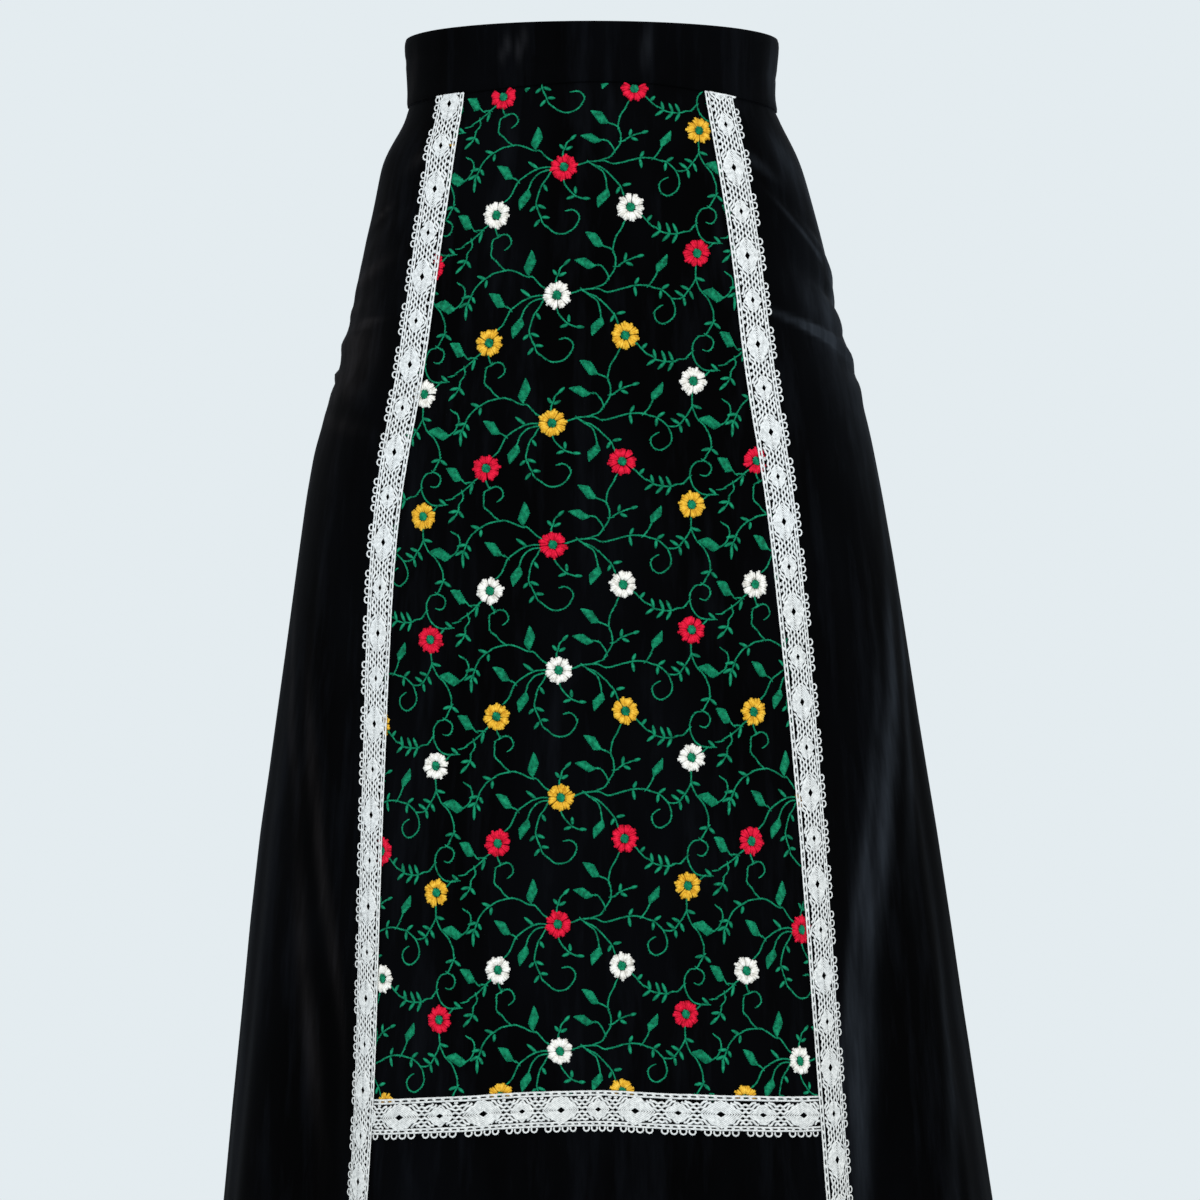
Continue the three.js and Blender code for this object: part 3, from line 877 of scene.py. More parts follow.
# Where each row's main flower lies, and how the cloth stretches across, tilts and sags there
PRINT_ROWS = table(
    "row across z stretch tilt sag",
    (-1, -15.0, 0.4, 1.000, 0.044, 0.00010),
    (0, -17.5, -73.4, 1.015, 0.044, 0.00010),
    (1, -21.9, -155.7, 1.030, 0.044, 0.00010),
    (2, -24.9, -236.9, 1.030, 0.043, 0.00012),
    (3, -24.2, -313.3, 1.012, 0.041, 0.00016),
    (4, -20.4, -391.6, 0.966, 0.038, 0.00022),
    (5, -19.0, -470.6, 0.945, 0.035, 0.00030),
    (6, -20.8, -548.4, 0.925, 0.032, 0.00044),
    (7, -19.4, -625.9, 0.900, 0.030, 0.00058),
    (8, -19.0, -701.0, 0.896, 0.040, 0.00078),
)

# The four flowers of a cell, and where each stands in the round of three colours
FLOWERS = table(
    "name x y turn",
    ("main", 0.0, 0.0, 0),
    ("right", 42.8, 26.4, 1),
    ("far", 86.2, -23.4, 2),
    ("left", -41.3, 27.0, 1),
)
FLOWER = {"radius": 9.0, "petals": 10, "inner": 2.7, "heart": 2.7}

# Stems, leaves and leaflets round each flower. Coordinates are across and down from that flower.
STEMS = {
    "main": [
        [(-7.5, -4.4), (-10.6, -6.4), (-15.6, -11.4), (-18.6, -11.7), (-21.7, -12.8),
         (-24.5, -14.2), (-28.4, -15.6), (-31.7, -16.1), (-36.7, -15.3), (-41.1, -14.2),
         (-44.5, -12.2), (-47.8, -10.3), (-51.2, -7.2), (-53.9, -3.3), (-54.5, -1.7), (-56.2, 2.2),
         (-57.5, 5)],
        [(-8.6, 0), (-12.2, 0), (-16.1, 0.8), (-20.6, 2.8), (-24.5, 5.3), (-28.4, 8.3),
         (-30.6, 12.2), (-33.1, 17.2), (-36.1, 20.3)],
        [(-28.4, 8.3), (-30, 7), (-31.7, 6.4)],
        [(-8.3, 1.9), (-11.7, 2.2), (-15.8, 3.9), (-19.5, 7.8), (-20.9, 11.1), (-21.7, 13.3)],
        [(-8.6, 3.6), (-10.6, 7.2), (-13.1, 10.6), (-14.7, 14.5), (-15.8, 18.9), (-16.1, 22.8),
         (-14.2, 27.8), (-12.8, 30.6), (-11.1, 34.5), (-7.8, 37.2), (-4.4, 39.8), (-0.6, 41.1),
         (3.6, 40.6), (6.9, 38.9), (9.7, 35.6), (11.3, 31.7), (10.3, 28.9), (8.1, 27), (5.8, 26.4),
         (3.6, 27)],
        [(-0.9, -8.1), (-0.9, -10.6), (0, -12.2), (1.1, -16.1), (3.1, -18.3)],
        [(0.3, 8.3), (1.4, 11.1), (4.2, 14.5), (7.5, 17.5), (11.4, 19.2), (12.5, 19.5)],
        [(8.6, -1.1), (12, -2.2), (15.3, -3.3), (21.4, -3.9), (25.3, -5.3), (28.6, -6.7),
         (31.4, -10.6), (33.6, -13.9), (35, -17.2), (34.8, -22.8), (33.1, -27.2), (33.6, -32.2),
         (34.8, -36.1), (37.5, -40.6), (39.2, -44.6)],
        [(31.4, -10.6), (29.7, -13.9), (26.4, -17.8), (23.6, -18.3)],
        [(33.1, -27.2), (30.9, -28.6), (27, -30)],
        [(35, -17.2), (37, -17.8), (40.3, -20.3), (45.3, -22.5), (48.1, -23.4)],
        [(15.3, -3.3), (20.6, 0.5), (24.5, 3.3), (26.5, 8), (27.5, 13.5)],
        [(15.3, -3.3), (19, -1), (24, 1), (29, 5), (33, 9), (36, 12.5), (38, 17)],
        [(21.4, -3.9), (25.4, -3.8), (30.6, -1.9), (36.7, -3.0), (42, -4.6), (47.4, -5.9),
         (52, -6.2), (56.1, -5.8), (60.2, -4.6), (64, -3.6), (67.6, -1.2), (71.2, 2.6),
         (73.3, 8.6), (72, 13.6), (66.8, 17.2), (62.2, 15.8), (60.3, 11.6), (61.4, 8.6),
         (64.4, 6.4)],
        [(56.1, -5.8), (58.2, -8.6), (60, -11.6), (61, -13.9)],
    ],
    "right": [
        [(6.6, 4.6), (7.8, 5.4), (11.1, 8.7), (14.4, 11.5), (16.9, 12.4), (19.2, 14.3),
         (22.8, 15.3), (25.6, 15.7), (30.3, 15.7), (33.9, 14.3), (37.8, 13.7), (40, 11.5),
         (42.1, 9.2)],
    ],
    "far": [
        [(-0.5, 8.4), (-0.3, 13.5), (-0.3, 15.4), (1.3, 19.2), (3.5, 23.1), (7.4, 26.9),
         (9.9, 30.8), (11.9, 35.9), (12.2, 41.6)],
        [(-0.3, 15.4), (-2.2, 19.2), (-4.5, 22.4), (-8, 26.9), (-11.2, 28.2), (-14.4, 28.2)],
        [(12.3, -37), (10, -33.1), (7.1, -28.8), (2.9, -27.6), (0, -24.4), (-1, -21.2),
         (-1, -17.3), (0.6, -12.8), (2.9, -9.6), (6.1, -7.4), (10.6, -6.7), (15.7, -7)],
        [(7.1, -28.8), (9, -27.9), (11.4, -26.4), (12.4, -23.6), (11.2, -20.4), (9, -18.8),
         (6.6, -19)],
        [(7.4, -3.6), (10.6, -6.7)],
        [(18.6, 26.6), (22.1, 23.9), (23.6, 21.2), (24.8, 17.9), (23.6, 13.6), (19.8, 11.2)],
    ],
    "left": [
        [(-4.9, 5.9), (-7.7, 7.9), (-8.8, 9), (-11.2, 11.2), (-13.5, 13), (-15.9, 14.8),
         (-20.1, 17.2), (-21.6, 18.7), (-25.2, 19.6)],
        [(-8.8, 9), (-11.7, 8.8), (-13.7, 9.3), (-15, 7.9), (-16.1, 6.8)],
        [(-15.9, 14.8), (-15, 17.9), (-16.1, 20.5), (-17.9, 22.7), (-18.5, 26.7), (-20.5, 30.2)],
        [(-0.2, 8.2), (0.7, 10.8), (2, 13.5), (-0.7, 14.8), (-1.8, 17.4), (-1.8, 20.9), (-2, 24),
         (-0.7, 26.2), (2, 28.4), (4.2, 31.1), (7.4, 33.6)],
        [(2, 13.5), (4.6, 12.3), (7.3, 12.3), (9.5, 13.9), (10.6, 17), (9.9, 19.2), (7.7, 21.2)],
    ],
}

# Leaves and leaflets: base, tip and, for a leaf, its width
LEAVES = {
    "main": [
        ((-18.3, -12.5), (-17.3, -27.8), 6.4),
        ((-32.2, 6.1), (-42.8, -2.2), 6),
        ((-21.7, 13.3), (-26.4, 25.9), 6),
        ((22.8, -17.8), (9.7, -21.4), 5.3),
        ((27, -30), (15.6, -38.4), 6),
        ((27.8, 13.5), (22.5, 25), 6),
        ((61, -13.9), (67, -25.2), 5.2),
    ],
    "right": [],
    "far": [
        ((18.6, 26.6), (4.3, 23.2), 7),
    ],
    "left": [
        ((-16.1, 6.8), (-26, -0.9), 6.6),
    ],
}
LEAFLETS = {
    "main": [
        [(-45.6, -11.1), (-51.7, -13.3)], [(-45, -10.6), (-45.6, -5.8)],
        [(-54.8, -1.1), (-61.2, -0.3)], [(-53.9, -0.6), (-52, 3.3)], [(-56.7, 2.8), (-62.6, 5.6)],
        [(-56.2, 3.3), (-53.7, 8.1)], [(-57.5, 5), (-57.8, 13.6)], [(-16.4, 0.6), (-22.8, -4.2)],
        [(-12.2, 10.6), (-9.7, 14.7)], [(-16.7, 23.9), (-20, 27)], [(-15.3, 23.1), (-10, 25.3)],
        [(-12.2, 30.6), (-7.2, 31.1)], [(-13.3, 32), (-16.7, 36.4)],
        [(-0.6, -12.2), (-3.3, -15.6)], [(0.6, -11.7), (5, -13.9)], [(3.1, -18.3), (7, -22)],
        [(8.1, 16.7), (7.8, 12)], [(7.5, 18.1), (2.5, 19.7)], [(12.5, 19.5), (17.5, 19.7)],
        [(40.6, -20.9), (41.4, -25.9)], [(41.4, -20), (45.9, -18.1)],
        [(48.1, -23.4), (52.5, -24.7)], [(37, 11.5), (42.5, 10.5)], [(35.5, 12.5), (33.5, 16.5)],
        [(47.6, -6.6), (49.8, -10.8)], [(47.4, -5.4), (48.6, 0.6)], [(64.4, -4), (69, -7)],
        [(64, -3.2), (63.6, 2)],
    ],
    "right": [
        [(19.2, 14.3), (17.8, 8.2)], [(19.2, 14.3), (13.9, 18.2)], [(25.6, 15.7), (22.9, 9)],
        [(25.6, 15.7), (20.8, 20.5)], [(30.3, 15.7), (27.2, 9.3)], [(30.3, 15.7), (27.2, 21.5)],
        [(10.5, 8.2), (13.6, 4.6)],
    ],
    "far": [
        [(0.2, 15.1), (5.8, 16.7)], [(-4.5, 22.4), (-9.9, 20.2)], [(-4, 23), (-1.6, 28.2)],
        [(-8, 26.6), (-13.5, 23.1)], [(-7.6, 27.2), (-6.7, 32.4)], [(11.8, -36.6), (6.1, -35.2)],
        [(12.6, -36.2), (16.9, -32.7)], [(15.7, -7), (11.2, -10.9)],
    ],
    "left": [
        [(-8.8, 9.8), (-10.6, 16.4)], [(-18.8, 27), (-24.9, 27.8)], [(-18.2, 27.2), (-15, 31.5)],
        [(-20.4, 30), (-25.4, 34.6)],
    ],
}

# Stitches. Lifts and halves have one value for each station of a stitch.
STEM = {
    "advance": 1.75,
    "length": 3.1,
    "slant": 0.24,
    "lifts": np.array([0.28, 0.50, 0.28]),
    "half_width": np.array([0.34, 0.41, 0.34]),
    "half_height": 0.36,
}
LEAF = {
    "pitch": 0.95,
    "widest": 0.42,
    "half": 0.6,
    "across": 0.95,
    "along": 0.60,
    "lifts": np.array([0.25, 0.80, 0.25]),
    "half_width": np.array([0.48, 0.62, 0.48]),
    "half_height": 0.5,
}
LEAFLET = {
    "stations": (0, 0.22, 0.5, 0.8, 1.0),
    "lifts": np.array([0.30, 0.5, 0.6, 0.5, 0.25]),
    "half_width": np.array([0.42, 0.98, 1.10, 0.86, 0.30]),
    "flatness": 0.7,
}
PETAL = {
    "spread": np.radians(10.3),
    "root": np.radians(8),
    "shorter": 0.09,
    "waist": 0.45,
    "shoulder": 0.80,
    "lifts": np.array([0.35, 0.95, 0.95, 0.35]),
    "half_width": np.array([0.50, 0.84, 1.00, 0.92]),
    "half_height": np.array([0.4, 0.55, 0.55, 0.35]),
}
HEART = {
    "rows": 7,
    "slant": np.radians(28),
    "height": 0.92,
    "lifts": np.array([0.75, 1.35, 0.75]),
    "half_width": np.array([0.42, 0.52, 0.42]),
    "half_height": 0.42,
}


def on_sheet(x, y, lift):
    """Chart coordinates from the first main flower, as across, height and lift on the cloth."""
    row = (y + CHART_TILT * x) / CELL["height"]
    across, z, stretch, tilt, sag = (
        read_off(PRINT_ROWS, "row", wanted, row)
        for wanted in ("across", "z", "stretch", "tilt", "sag")
    )
    wide = x * stretch
    return np.stack([across + wide, z + tilt * wide - sag * wide**2, lift + 0 * x], axis=-1)


def lace_edges():
    """Across of the long laces' straight edges at each height, as columns z, left and right."""
    rows = []
    for (z, _, left), (_, right, _) in zip(SPANS["lace_left"], SPANS["lace_right"]):
        rows.append((z, cloth.across_of(left, z), cloth.across_of(right, z)))
    edges = np.array(rows)
    for column in (1, 2):
        padded = np.pad(edges[:, column], 3, mode="reflect", reflect_type="odd")
        edges[:, column] = np.convolve(padded, np.full(7, 1 / 7), mode="valid")
    return edges


EDGES = lace_edges()
UNDER_LACE = 4.0  # the embroidery goes on this far under the long laces
UNDER_LOWER = 1.5  # and this far under the lower one
BELOW_WAIST = 1.2  # and starts this far below the waist seam


def edges_at(z):
    """Across of the left and the right lace's straight edge at any height."""
    return (np.interp(z, EDGES[:, 0], EDGES[:, column]) for column in (1, 2))


def shows(sheet_points):
    """Which threads lie on the embroidered panel, judged at their middles."""
    middle = sheet_points[:, sheet_points.shape[1] // 2]
    across, z = middle[:, 0], middle[:, 1]
    left, right = edges_at(z)
    azimuth = cloth.azimuth_at(across, z)
    between = (across > left - UNDER_LACE) & (across < right + UNDER_LACE)
    above = z > np.interp(azimuth, *LACE_TOP) - UNDER_LOWER
    return between & above & (z < waist_seam(azimuth) - BELOW_WAIST)


def pressed(points):
    """How flat the laces press the stitches: 1 in the open and less under a lace."""
    across, z = points[..., 0], points[..., 1]
    left, right = edges_at(z)
    above = z - np.interp(cloth.azimuth_at(across, z), *LACE_TOP)
    inside = np.minimum.reduce([across - left, right - across, above])
    return np.clip(0.45 + inside / 2.0, 0.35, 1.0)


def stitch(threads, chart, lifts, half_width, half_height):
    """Adds stitches charted as threads × stations × 2, where they lie on the panel."""
    points = on_sheet(chart[..., 0], chart[..., 1], lifts)
    press = pressed(points)
    points[..., 2] *= press
    half_height = half_height * press
    kept = shows(points)
    if kept.any():
        place, normal = cloth.place(points[kept])
        widths = np.broadcast_to(half_width, chart.shape[:2])[kept]
        heights = np.broadcast_to(half_height, chart.shape[:2])[kept]
        threads.add(place, normal, widths, heights)


def smooth_path(points, step):
    """A smooth curve through points, as stations a step apart."""
    points = np.array(points, float)
    ends = np.concatenate([2 * points[:1] - points[1:2], points, 2 * points[-1:] - points[-2:-1]])
    fine = []
    for i in range(len(points) - 1):
        t = np.linspace(0, 1, 12, endpoint=False)[:, None]
        fine.append(sum(w * ends[i + j] for j, w in enumerate(cubic_weights(t))))
    fine = np.concatenate([*fine, points[-1:]])
    lengths = np.concatenate([[0], np.cumsum(np.linalg.norm(np.diff(fine, axis=0), axis=1))])
    stations = np.linspace(0, lengths[-1], max(int(round(lengths[-1] / step)), 2) + 1)
    return np.stack([np.interp(stations, lengths, fine[:, i]) for i in range(2)], axis=-1)


def perpendicular(vectors):
    return np.stack([-vectors[..., 1], vectors[..., 0]], axis=-1)


def stem_stitches(path, draw):
    """Stem stitch: short slanting stitches, each overlapping the one before."""
    middles = smooth_path(path, STEM["advance"])
    along = unit(np.gradient(middles, axis=0))
    side = perpendicular(along)
    middles = middles + side * draw.normal(0, 0.07, (len(middles), 1))
    half = STEM["length"] / 2 * draw.uniform(0.9, 1.1, (len(middles), 1))
    slanted = unit(along + STEM["slant"] * side)
    return np.stack([middles - slanted * half, middles, middles + slanted * half], axis=1)


def leaflet_stitch(base, tip):
    """One long stitch from base to tip."""
    return np.stack([base + (tip - base) * t for t in LEAFLET["stations"]])


def leaf_stitches(base, tip, width, draw):
    """Satin stitches slanting across a leaf that is pointed at both ends."""
    axis = tip - base
    length = np.linalg.norm(axis)
    axis = axis / length
    side = perpendicular(axis)
    count = int(length / LEAF["pitch"])
    t = (np.arange(count) + 0.5) / count
    swell = np.minimum(t / LEAF["widest"], (1 - t) / (1 - LEAF["widest"]))
    half = LEAF["half"] * width * swell**0.75 * draw.uniform(0.94, 1.04, count)
    centre = base + axis * (t * length)[:, None]
    reach = (side * LEAF["across"] + axis * LEAF["along"]) * half[:, None]
    return np.stack([centre - reach, centre, centre + reach], axis=1)


def petal_stitches(x, y, angle, draw):
    """A flower: petals of three thick, uneven stitches each, with the velvet dark between them."""
    stitches = []
    for petal in range(FLOWER["petals"]):
        lean = angle + 2 * np.pi * petal / FLOWER["petals"] + draw.normal(0, 0.03)
        reach = FLOWER["radius"] * draw.uniform(0.95, 1.04)
        for off in (-1, 1, 0):
            spread = lean + off * PETAL["spread"] + draw.normal(0, 0.02)
            outer = reach * (1 - PETAL["shorter"] * abs(off)) * draw.uniform(0.94, 1.03)
            inner = FLOWER["inner"] * draw.uniform(0.92, 1.25)
            waist = PETAL["waist"] * outer + 1.2
            radii = np.array([inner, waist, PETAL["shoulder"] * outer, outer])
            angles = np.array([lean + off * PETAL["root"], spread, spread, spread])
            places = (x + radii * np.sin(angles), y - radii * np.cos(angles))
            stitches.append(np.stack(places, axis=-1))
    return np.array(stitches)


def heart_stitches(x, y, draw):
    """Short slanting stitches over the flower's oval heart."""
    radius = FLOWER["heart"]
    cosine, sine = np.cos(HEART["slant"]), np.sin(HEART["slant"])
    along = np.array([cosine, -sine])
    down = np.array([sine, cosine])
    stitches = []
    for row in np.linspace(-1, 1, HEART["rows"]):
        half = radius * np.sqrt(1 - row * row * 0.86) * draw.uniform(0.94, 1.05)
        centre = np.array([x, y]) + down * row * radius * HEART["height"]
        stitches.append([centre - along * half, centre, centre + along * half])
    return np.array(stitches)


def embroider():
    draw = np.random.default_rng(11)
    flowers = {"red": Threads(), "white": Threads(), "yellow": Threads()}
    order = tuple(flowers)
    hearts, vines, leaves = Threads(), Threads(), Threads()
    stem_paths, leaf_rows, leaflet_rows = [], [], []
    for row in CELL_ROWS:
        for column in CELL_COLUMNS:
            for flower in FLOWERS:
                x = flower["x"] + column * CELL["width"]
                y = flower["y"] + row * CELL["height"] - CHART_TILT * x
                petals = petal_stitches(x, y, draw.uniform(0, 0.6), draw)
                widths = PETAL["half_width"] * draw.uniform(0.86, 1.08, (len(petals), 1))
                threads = flowers[order[(row + flower["turn"]) % len(order)]]
                stitch(threads, petals, PETAL["lifts"], widths, PETAL["half_height"])
                heart = heart_stitches(x, y, draw)
                stitch(hearts, heart, HEART["lifts"], HEART["half_width"], HEART["half_height"])
                origin = np.array([x, y])
                stem_paths += [np.array(path) + origin for path in STEMS[flower["name"]]]
                for base, tip, width in LEAVES[flower["name"]]:
                    leaf_rows.append((base + origin, tip + origin, width))
                leaflet_rows += [np.array(ends) + origin for ends in LEAFLETS[flower["name"]]]
    stems = np.concatenate([stem_stitches(path, draw) for path in stem_paths])
    stitch(vines, stems, STEM["lifts"], STEM["half_width"], STEM["half_height"])
    leaflets = np.stack([leaflet_stitch(*row) for row in leaflet_rows])
    leaflet_half = LEAFLET["half_width"]
    stitch(leaves, leaflets, LEAFLET["lifts"], leaflet_half, leaflet_half * LEAFLET["flatness"])
    satin = np.concatenate([leaf_stitches(*row, draw) for row in leaf_rows])
    stitch(leaves, satin, LEAF["lifts"], LEAF["half_width"], LEAF["half_height"])
    pieces = [
        flowers["red"].piece("flowers_red", RED),
        flowers["white"].piece("flowers_white", WHITE),
        flowers["yellow"].piece("flowers_yellow", YELLOW),
        hearts.piece("flower_hearts", GREEN),
        vines.piece("embroidered_stems", GREEN),
        leaves.piece("embroidered_leaves", GREEN),
    ]
    return [dress(piece) for piece in pieces]


# Lace. Its threads are drawn along (s) and across (r) the strip, from straight edge to loops.
LONG_UNIT = 28.6  # from one medallion to the next
LOWER_UNIT = 25.6
LACE_MIDDLE = 11.6
MEDALLIONS = table(
    "half_length half_width rings hole",
    (11.6, 8.2, 6, 1.3),
    (7.4, 4.9, 4, 1.0),
)
FOOT_LINES = (0.55, 2.65)
HEAD_LINES = (19.2, 21.2)
GROUND = {"first": 1.25, "pitch": 2.2, "wave": 4.2, "sway": 0.52, "half_width": 0.78, "rows": 5}
GROUND_MARGIN = 0.9  # it ends this far from the braids
LOOPS = {"count": 4, "pitch": 5.45, "half": 1.95, "depth": 3.7, "foot": 0.42, "rise": 0.52}
LOOP_THREAD = {"half_width": 0.58, "half_height": 0.42}
RING_THREAD = {"share": 0.46, "thinnest": 0.5, "half_height": 0.40, "lift": 0.04}
THREAD = {"half_width": 0.62, "half_height": 0.36, "step": 2.2, "wander": 0.06}
BRAID = {"half_width": 0.66, "half_height": 0.30, "lean": 0.22, "lift": 0.12}
FOOT_PITCH = 5.3  # of the braids' zigzags
HEAD_PITCH = 4.6


def medallion_half(s, unit_length):
    """Half the width of the medallions at a place along the lace, and 0 between them."""
    n = np.floor(s / unit_length + 0.5)
    off = np.abs(s - n * unit_length)
    length, width = (
        np.where(n % 2 == 0, *(kind[half] for kind in MEDALLIONS))
        for half in ("half_length", "half_width")
    )
    return width * np.clip(1 - off / length, 0, 1)


class LaceStrip:
    """Lace threads drawn in strip coordinates, laid on the cloth by a function of s and r."""

    def __init__(self, start, length, unit_length, lay):
        self.start = start
        self.length = length
        self.unit_length = unit_length
        self.lay = lay
        self.threads = Threads()
        self.draw = np.random.default_rng(5)

    def add(self, strands, half_width, half_height=THREAD["half_height"], closed=False, lift=0.0):
        """strands are threads × stations × 2, in s and r."""
        s = strands[..., 0]
        inside = (s.min(1) > -0.01) & (s.max(1) < self.length + 0.01)
        strands = strands[inside]
        if not len(strands):
            return
        points = self.lay(strands[..., 0], strands[..., 1], LACE_LIFT + lift)
        place, normal = cloth.place(points)
        self.threads.add(place, normal, half_width, half_height, closed)

    def line(self, r_of_s, step, half_width=THREAD["half_width"], lift=0.0):
        """One long thread, from end to end, broken where r_of_s gives no number."""
        s = np.linspace(0, self.length, int(self.length / step) + 1)
        r = r_of_s(s) + self.draw.normal(0, THREAD["wander"], len(s))
        good = np.isfinite(r)
        breaks = np.flatnonzero(np.diff(good.astype(int)))
        for part in np.split(np.arange(len(s)), breaks + 1):
            if good[part[0]] and len(part) > 2:
                self.add(np.stack([s[part], r[part]], axis=-1)[None], half_width, lift=lift)

    def braid(self, lines, pitch, phase=0.0):
        """Two edge threads with a zigzag between them, which leaves a row of slots."""
        for edge in lines:
            self.line(lambda s, edge=edge: edge + 0 * s, THREAD["step"])
        s = (np.arange(int(self.length / pitch)) + phase) * pitch
        for sign in (-1, 1):
            lean = sign * BRAID["lean"] * pitch
            low, high = (
                np.stack([s + side * lean, edge + 0 * s], -1) for side, edge in zip((-1, 1), lines)
            )
            bars = np.stack([low, high], 1)
            self.add(bars, BRAID["half_width"], BRAID["half_height"], lift=sign * BRAID["lift"])

    def medallions(self):
        count = int(self.length / self.unit_length) + 2
        turn_about = np.linspace(0, 2 * np.pi, 20, endpoint=False)
        cosine, sine = np.cos(turn_about), np.sin(turn_about)
        corner = 1 / (np.abs(cosine) + np.abs(sine)) ** 0.8  # a rhombus with rounded corners
        for n in range(-1, count):
            kind = MEDALLIONS[n % 2]
            centre = self.start + n * self.unit_length
            rings = kind["rings"]
            for ring in range(rings):
                share = 1 - ring / rings * (1 - kind["hole"] / kind["half_width"])
                s = centre + kind["half_length"] * share * corner * cosine
                r = LACE_MIDDLE + kind["half_width"] * share * corner * sine
                strand = np.stack([np.clip(s, 0, self.length), r], axis=-1)
                if (s < self.length).any() and (s > 0).any():
                    thick = RING_THREAD["share"] * kind["half_width"] / rings
                    thick = max(thick, RING_THREAD["thinnest"])
                    lift = RING_THREAD["lift"] * (rings - ring)
                    self.add(strand[None], thick, RING_THREAD["half_height"], True, lift)

    def ground(self):
        """Threads that sway beside the medallions; they touch and part and leave pinholes."""
        low, high = FOOT_LINES[1] + GROUND_MARGIN, HEAD_LINES[0] - GROUND_MARGIN
        for side, limit in ((-1, low), (1, high)):
            for n in range(GROUND["rows"]):
                offset = GROUND["first"] + n * GROUND["pitch"]
                sign = 1 - 2 * (n % 2)

                def place(s, offset=offset, side=side, limit=limit, sign=sign):
                    sway = GROUND["sway"] * sign * np.sin(2 * np.pi * s / GROUND["wave"])
                    half = medallion_half(s - self.start, self.unit_length)
                    r = LACE_MIDDLE + side * (half + offset + sway)
                    return np.where(side * (limit - r) > 0, r, np.nan)

                self.line(place, GROUND["wave"] / 4, GROUND["half_width"], lift=0.05 * sign)

    def loops(self):
        """Groups of small loops that stand out of the head of the lace."""
        turn_about = np.linspace(-0.15 * np.pi, 1.15 * np.pi, 7)
        count = int(self.length / self.unit_length) + 2
        base = HEAD_LINES[1] + LOOPS["depth"] * LOOPS["foot"]
        offsets = (np.arange(LOOPS["count"]) - (LOOPS["count"] - 1) / 2) * LOOPS["pitch"]
        for n in range(-1, count):
            centre = self.start + n * self.unit_length
            s = centre + offsets[:, None] + LOOPS["half"] * np.cos(turn_about)
            r = base + LOOPS["depth"] * LOOPS["rise"] * np.sin(turn_about) + 0 * s
            self.add(np.stack([s, r], axis=-1), **LOOP_THREAD)

    def piece(self, name, node):
        self.braid(FOOT_LINES, FOOT_PITCH)
        self.braid(HEAD_LINES, HEAD_PITCH, 0.5)
        self.medallions()
        self.ground()
        self.loops()
        return dress(self.threads.piece(name, LACE), node)


# The left lace is drawn in towards its foot, to a share of its width at each depth
DRAWN_IN = {
    "lace_left": table("depth share", (240, 1.00), (480, 0.90), (760, 0.84)),
    "lace_right": table("depth share", (0, 1.00)),
}


def long_lace(name, node, side, start):
    """A lace over a panel seam, from the waistband down to the hem."""
    column = 1 if side < 0 else 2
    z = np.linspace(SKIRT_TOP + 4, HEM - 6, 400)
    across = np.interp(z, EDGES[:, 0], EDGES[:, column])
    smooth = np.convolve(np.pad(across, 12, mode="edge"), np.full(25, 1 / 25), "valid")
    slope = np.gradient(smooth, z)
    steps = np.hypot(np.diff(z), np.diff(across))
    s_table = np.concatenate([[0], np.cumsum(steps)])

    def lay(s, r, lift):
        height = np.interp(s, s_table, z)
        edge = np.interp(s, s_table, across)
        lean = np.interp(s, s_table, slope)
        along = np.hypot(1, lean)
        r = r * read_off(DRAWN_IN[node], "depth", "share", -height)
        x = edge + side * r / along
        placed = height - side * r * lean / along
        top = waist_seam(cloth.azimuth_at(x, placed)) - 0.3
        placed = np.clip(placed, HEM + 0.6, top)
        return np.stack([x, placed, lift + 0 * x], axis=-1)

    strip = LaceStrip(start + 4, s_table[-1], LONG_UNIT, lay)
    return strip.piece(name, node)


# The lower lace is gathered and pulled a little: how far each place along it is shifted
GATHERS = table(
    "along shift",
    (0, 0.0),
    (21, 0.0),
    (72, 4.0),
    (123, 0.7),
    (174, -5.0),
    (225, -3.6),
    (276, 0.0),
)


def lower_lace(start):
    """The lace across the foot of the embroidered panel, between the two long ones."""
    angles, heights = LACE_TOP
    middle = float(np.interp(0.0, angles, heights))
    left, right = edges_at(middle)
    left, right = left + 0.3, right - 0.3

    def lay(s, r, lift):
        s = s + read_off(GATHERS, "along", "shift", s)
        x = left + s
        z = np.interp(cloth.azimuth_at(x, np.full(x.shape, middle)), angles, heights) - r
        low, high = edges_at(z)
        low, high = low + 0.4, high - 0.4
        share = s / (right - left)
        return np.stack([low + (high - low) * share, z, lift + 0 * x], axis=-1)

    strip = LaceStrip(start, right - left, LOWER_UNIT, lay)
    return strip.piece("cotton_lace_lower", "lace_lower")


LACES = {
    "left": long_lace("cotton_lace_left", "lace_left", -1, 9.0),
    "right": long_lace("cotton_lace_right", "lace_right", 1, -4.0),
    "lower": lower_lace(20.6),
}
EMBROIDERY = embroider()


# Zip. It lies behind the folded edges of the velvet at the centre back.
TAPE = {"half": 13.0, "face": -2.1, "wall": 0.6, "past": 14.0}  # it goes on below the zip
TAPE_GRID = {"across": 15, "down": 62}
TEETH = {"pitch": 1.5, "reach": 1.9, "overlap": 0.5, "lift": -0.85, "half": (0.52, 0.85)}
TEETH_END = {"above": 4, "below": 3}  # the rows stop this far inside the tape's ends
ZIP_STOP = {"above": 2.2, "reach": 2.2, "half_width": 1.3}
TAPE_LOW, TAPE_HIGH = (corner[2] for corner in box_mm("zip_tape"))


def at_back(across, z):
    """Azimuth that lies a length of cloth to one side of the centre back."""
    return np.pi - across / cloth.radius(np.full(np.shape(z), np.pi), z)


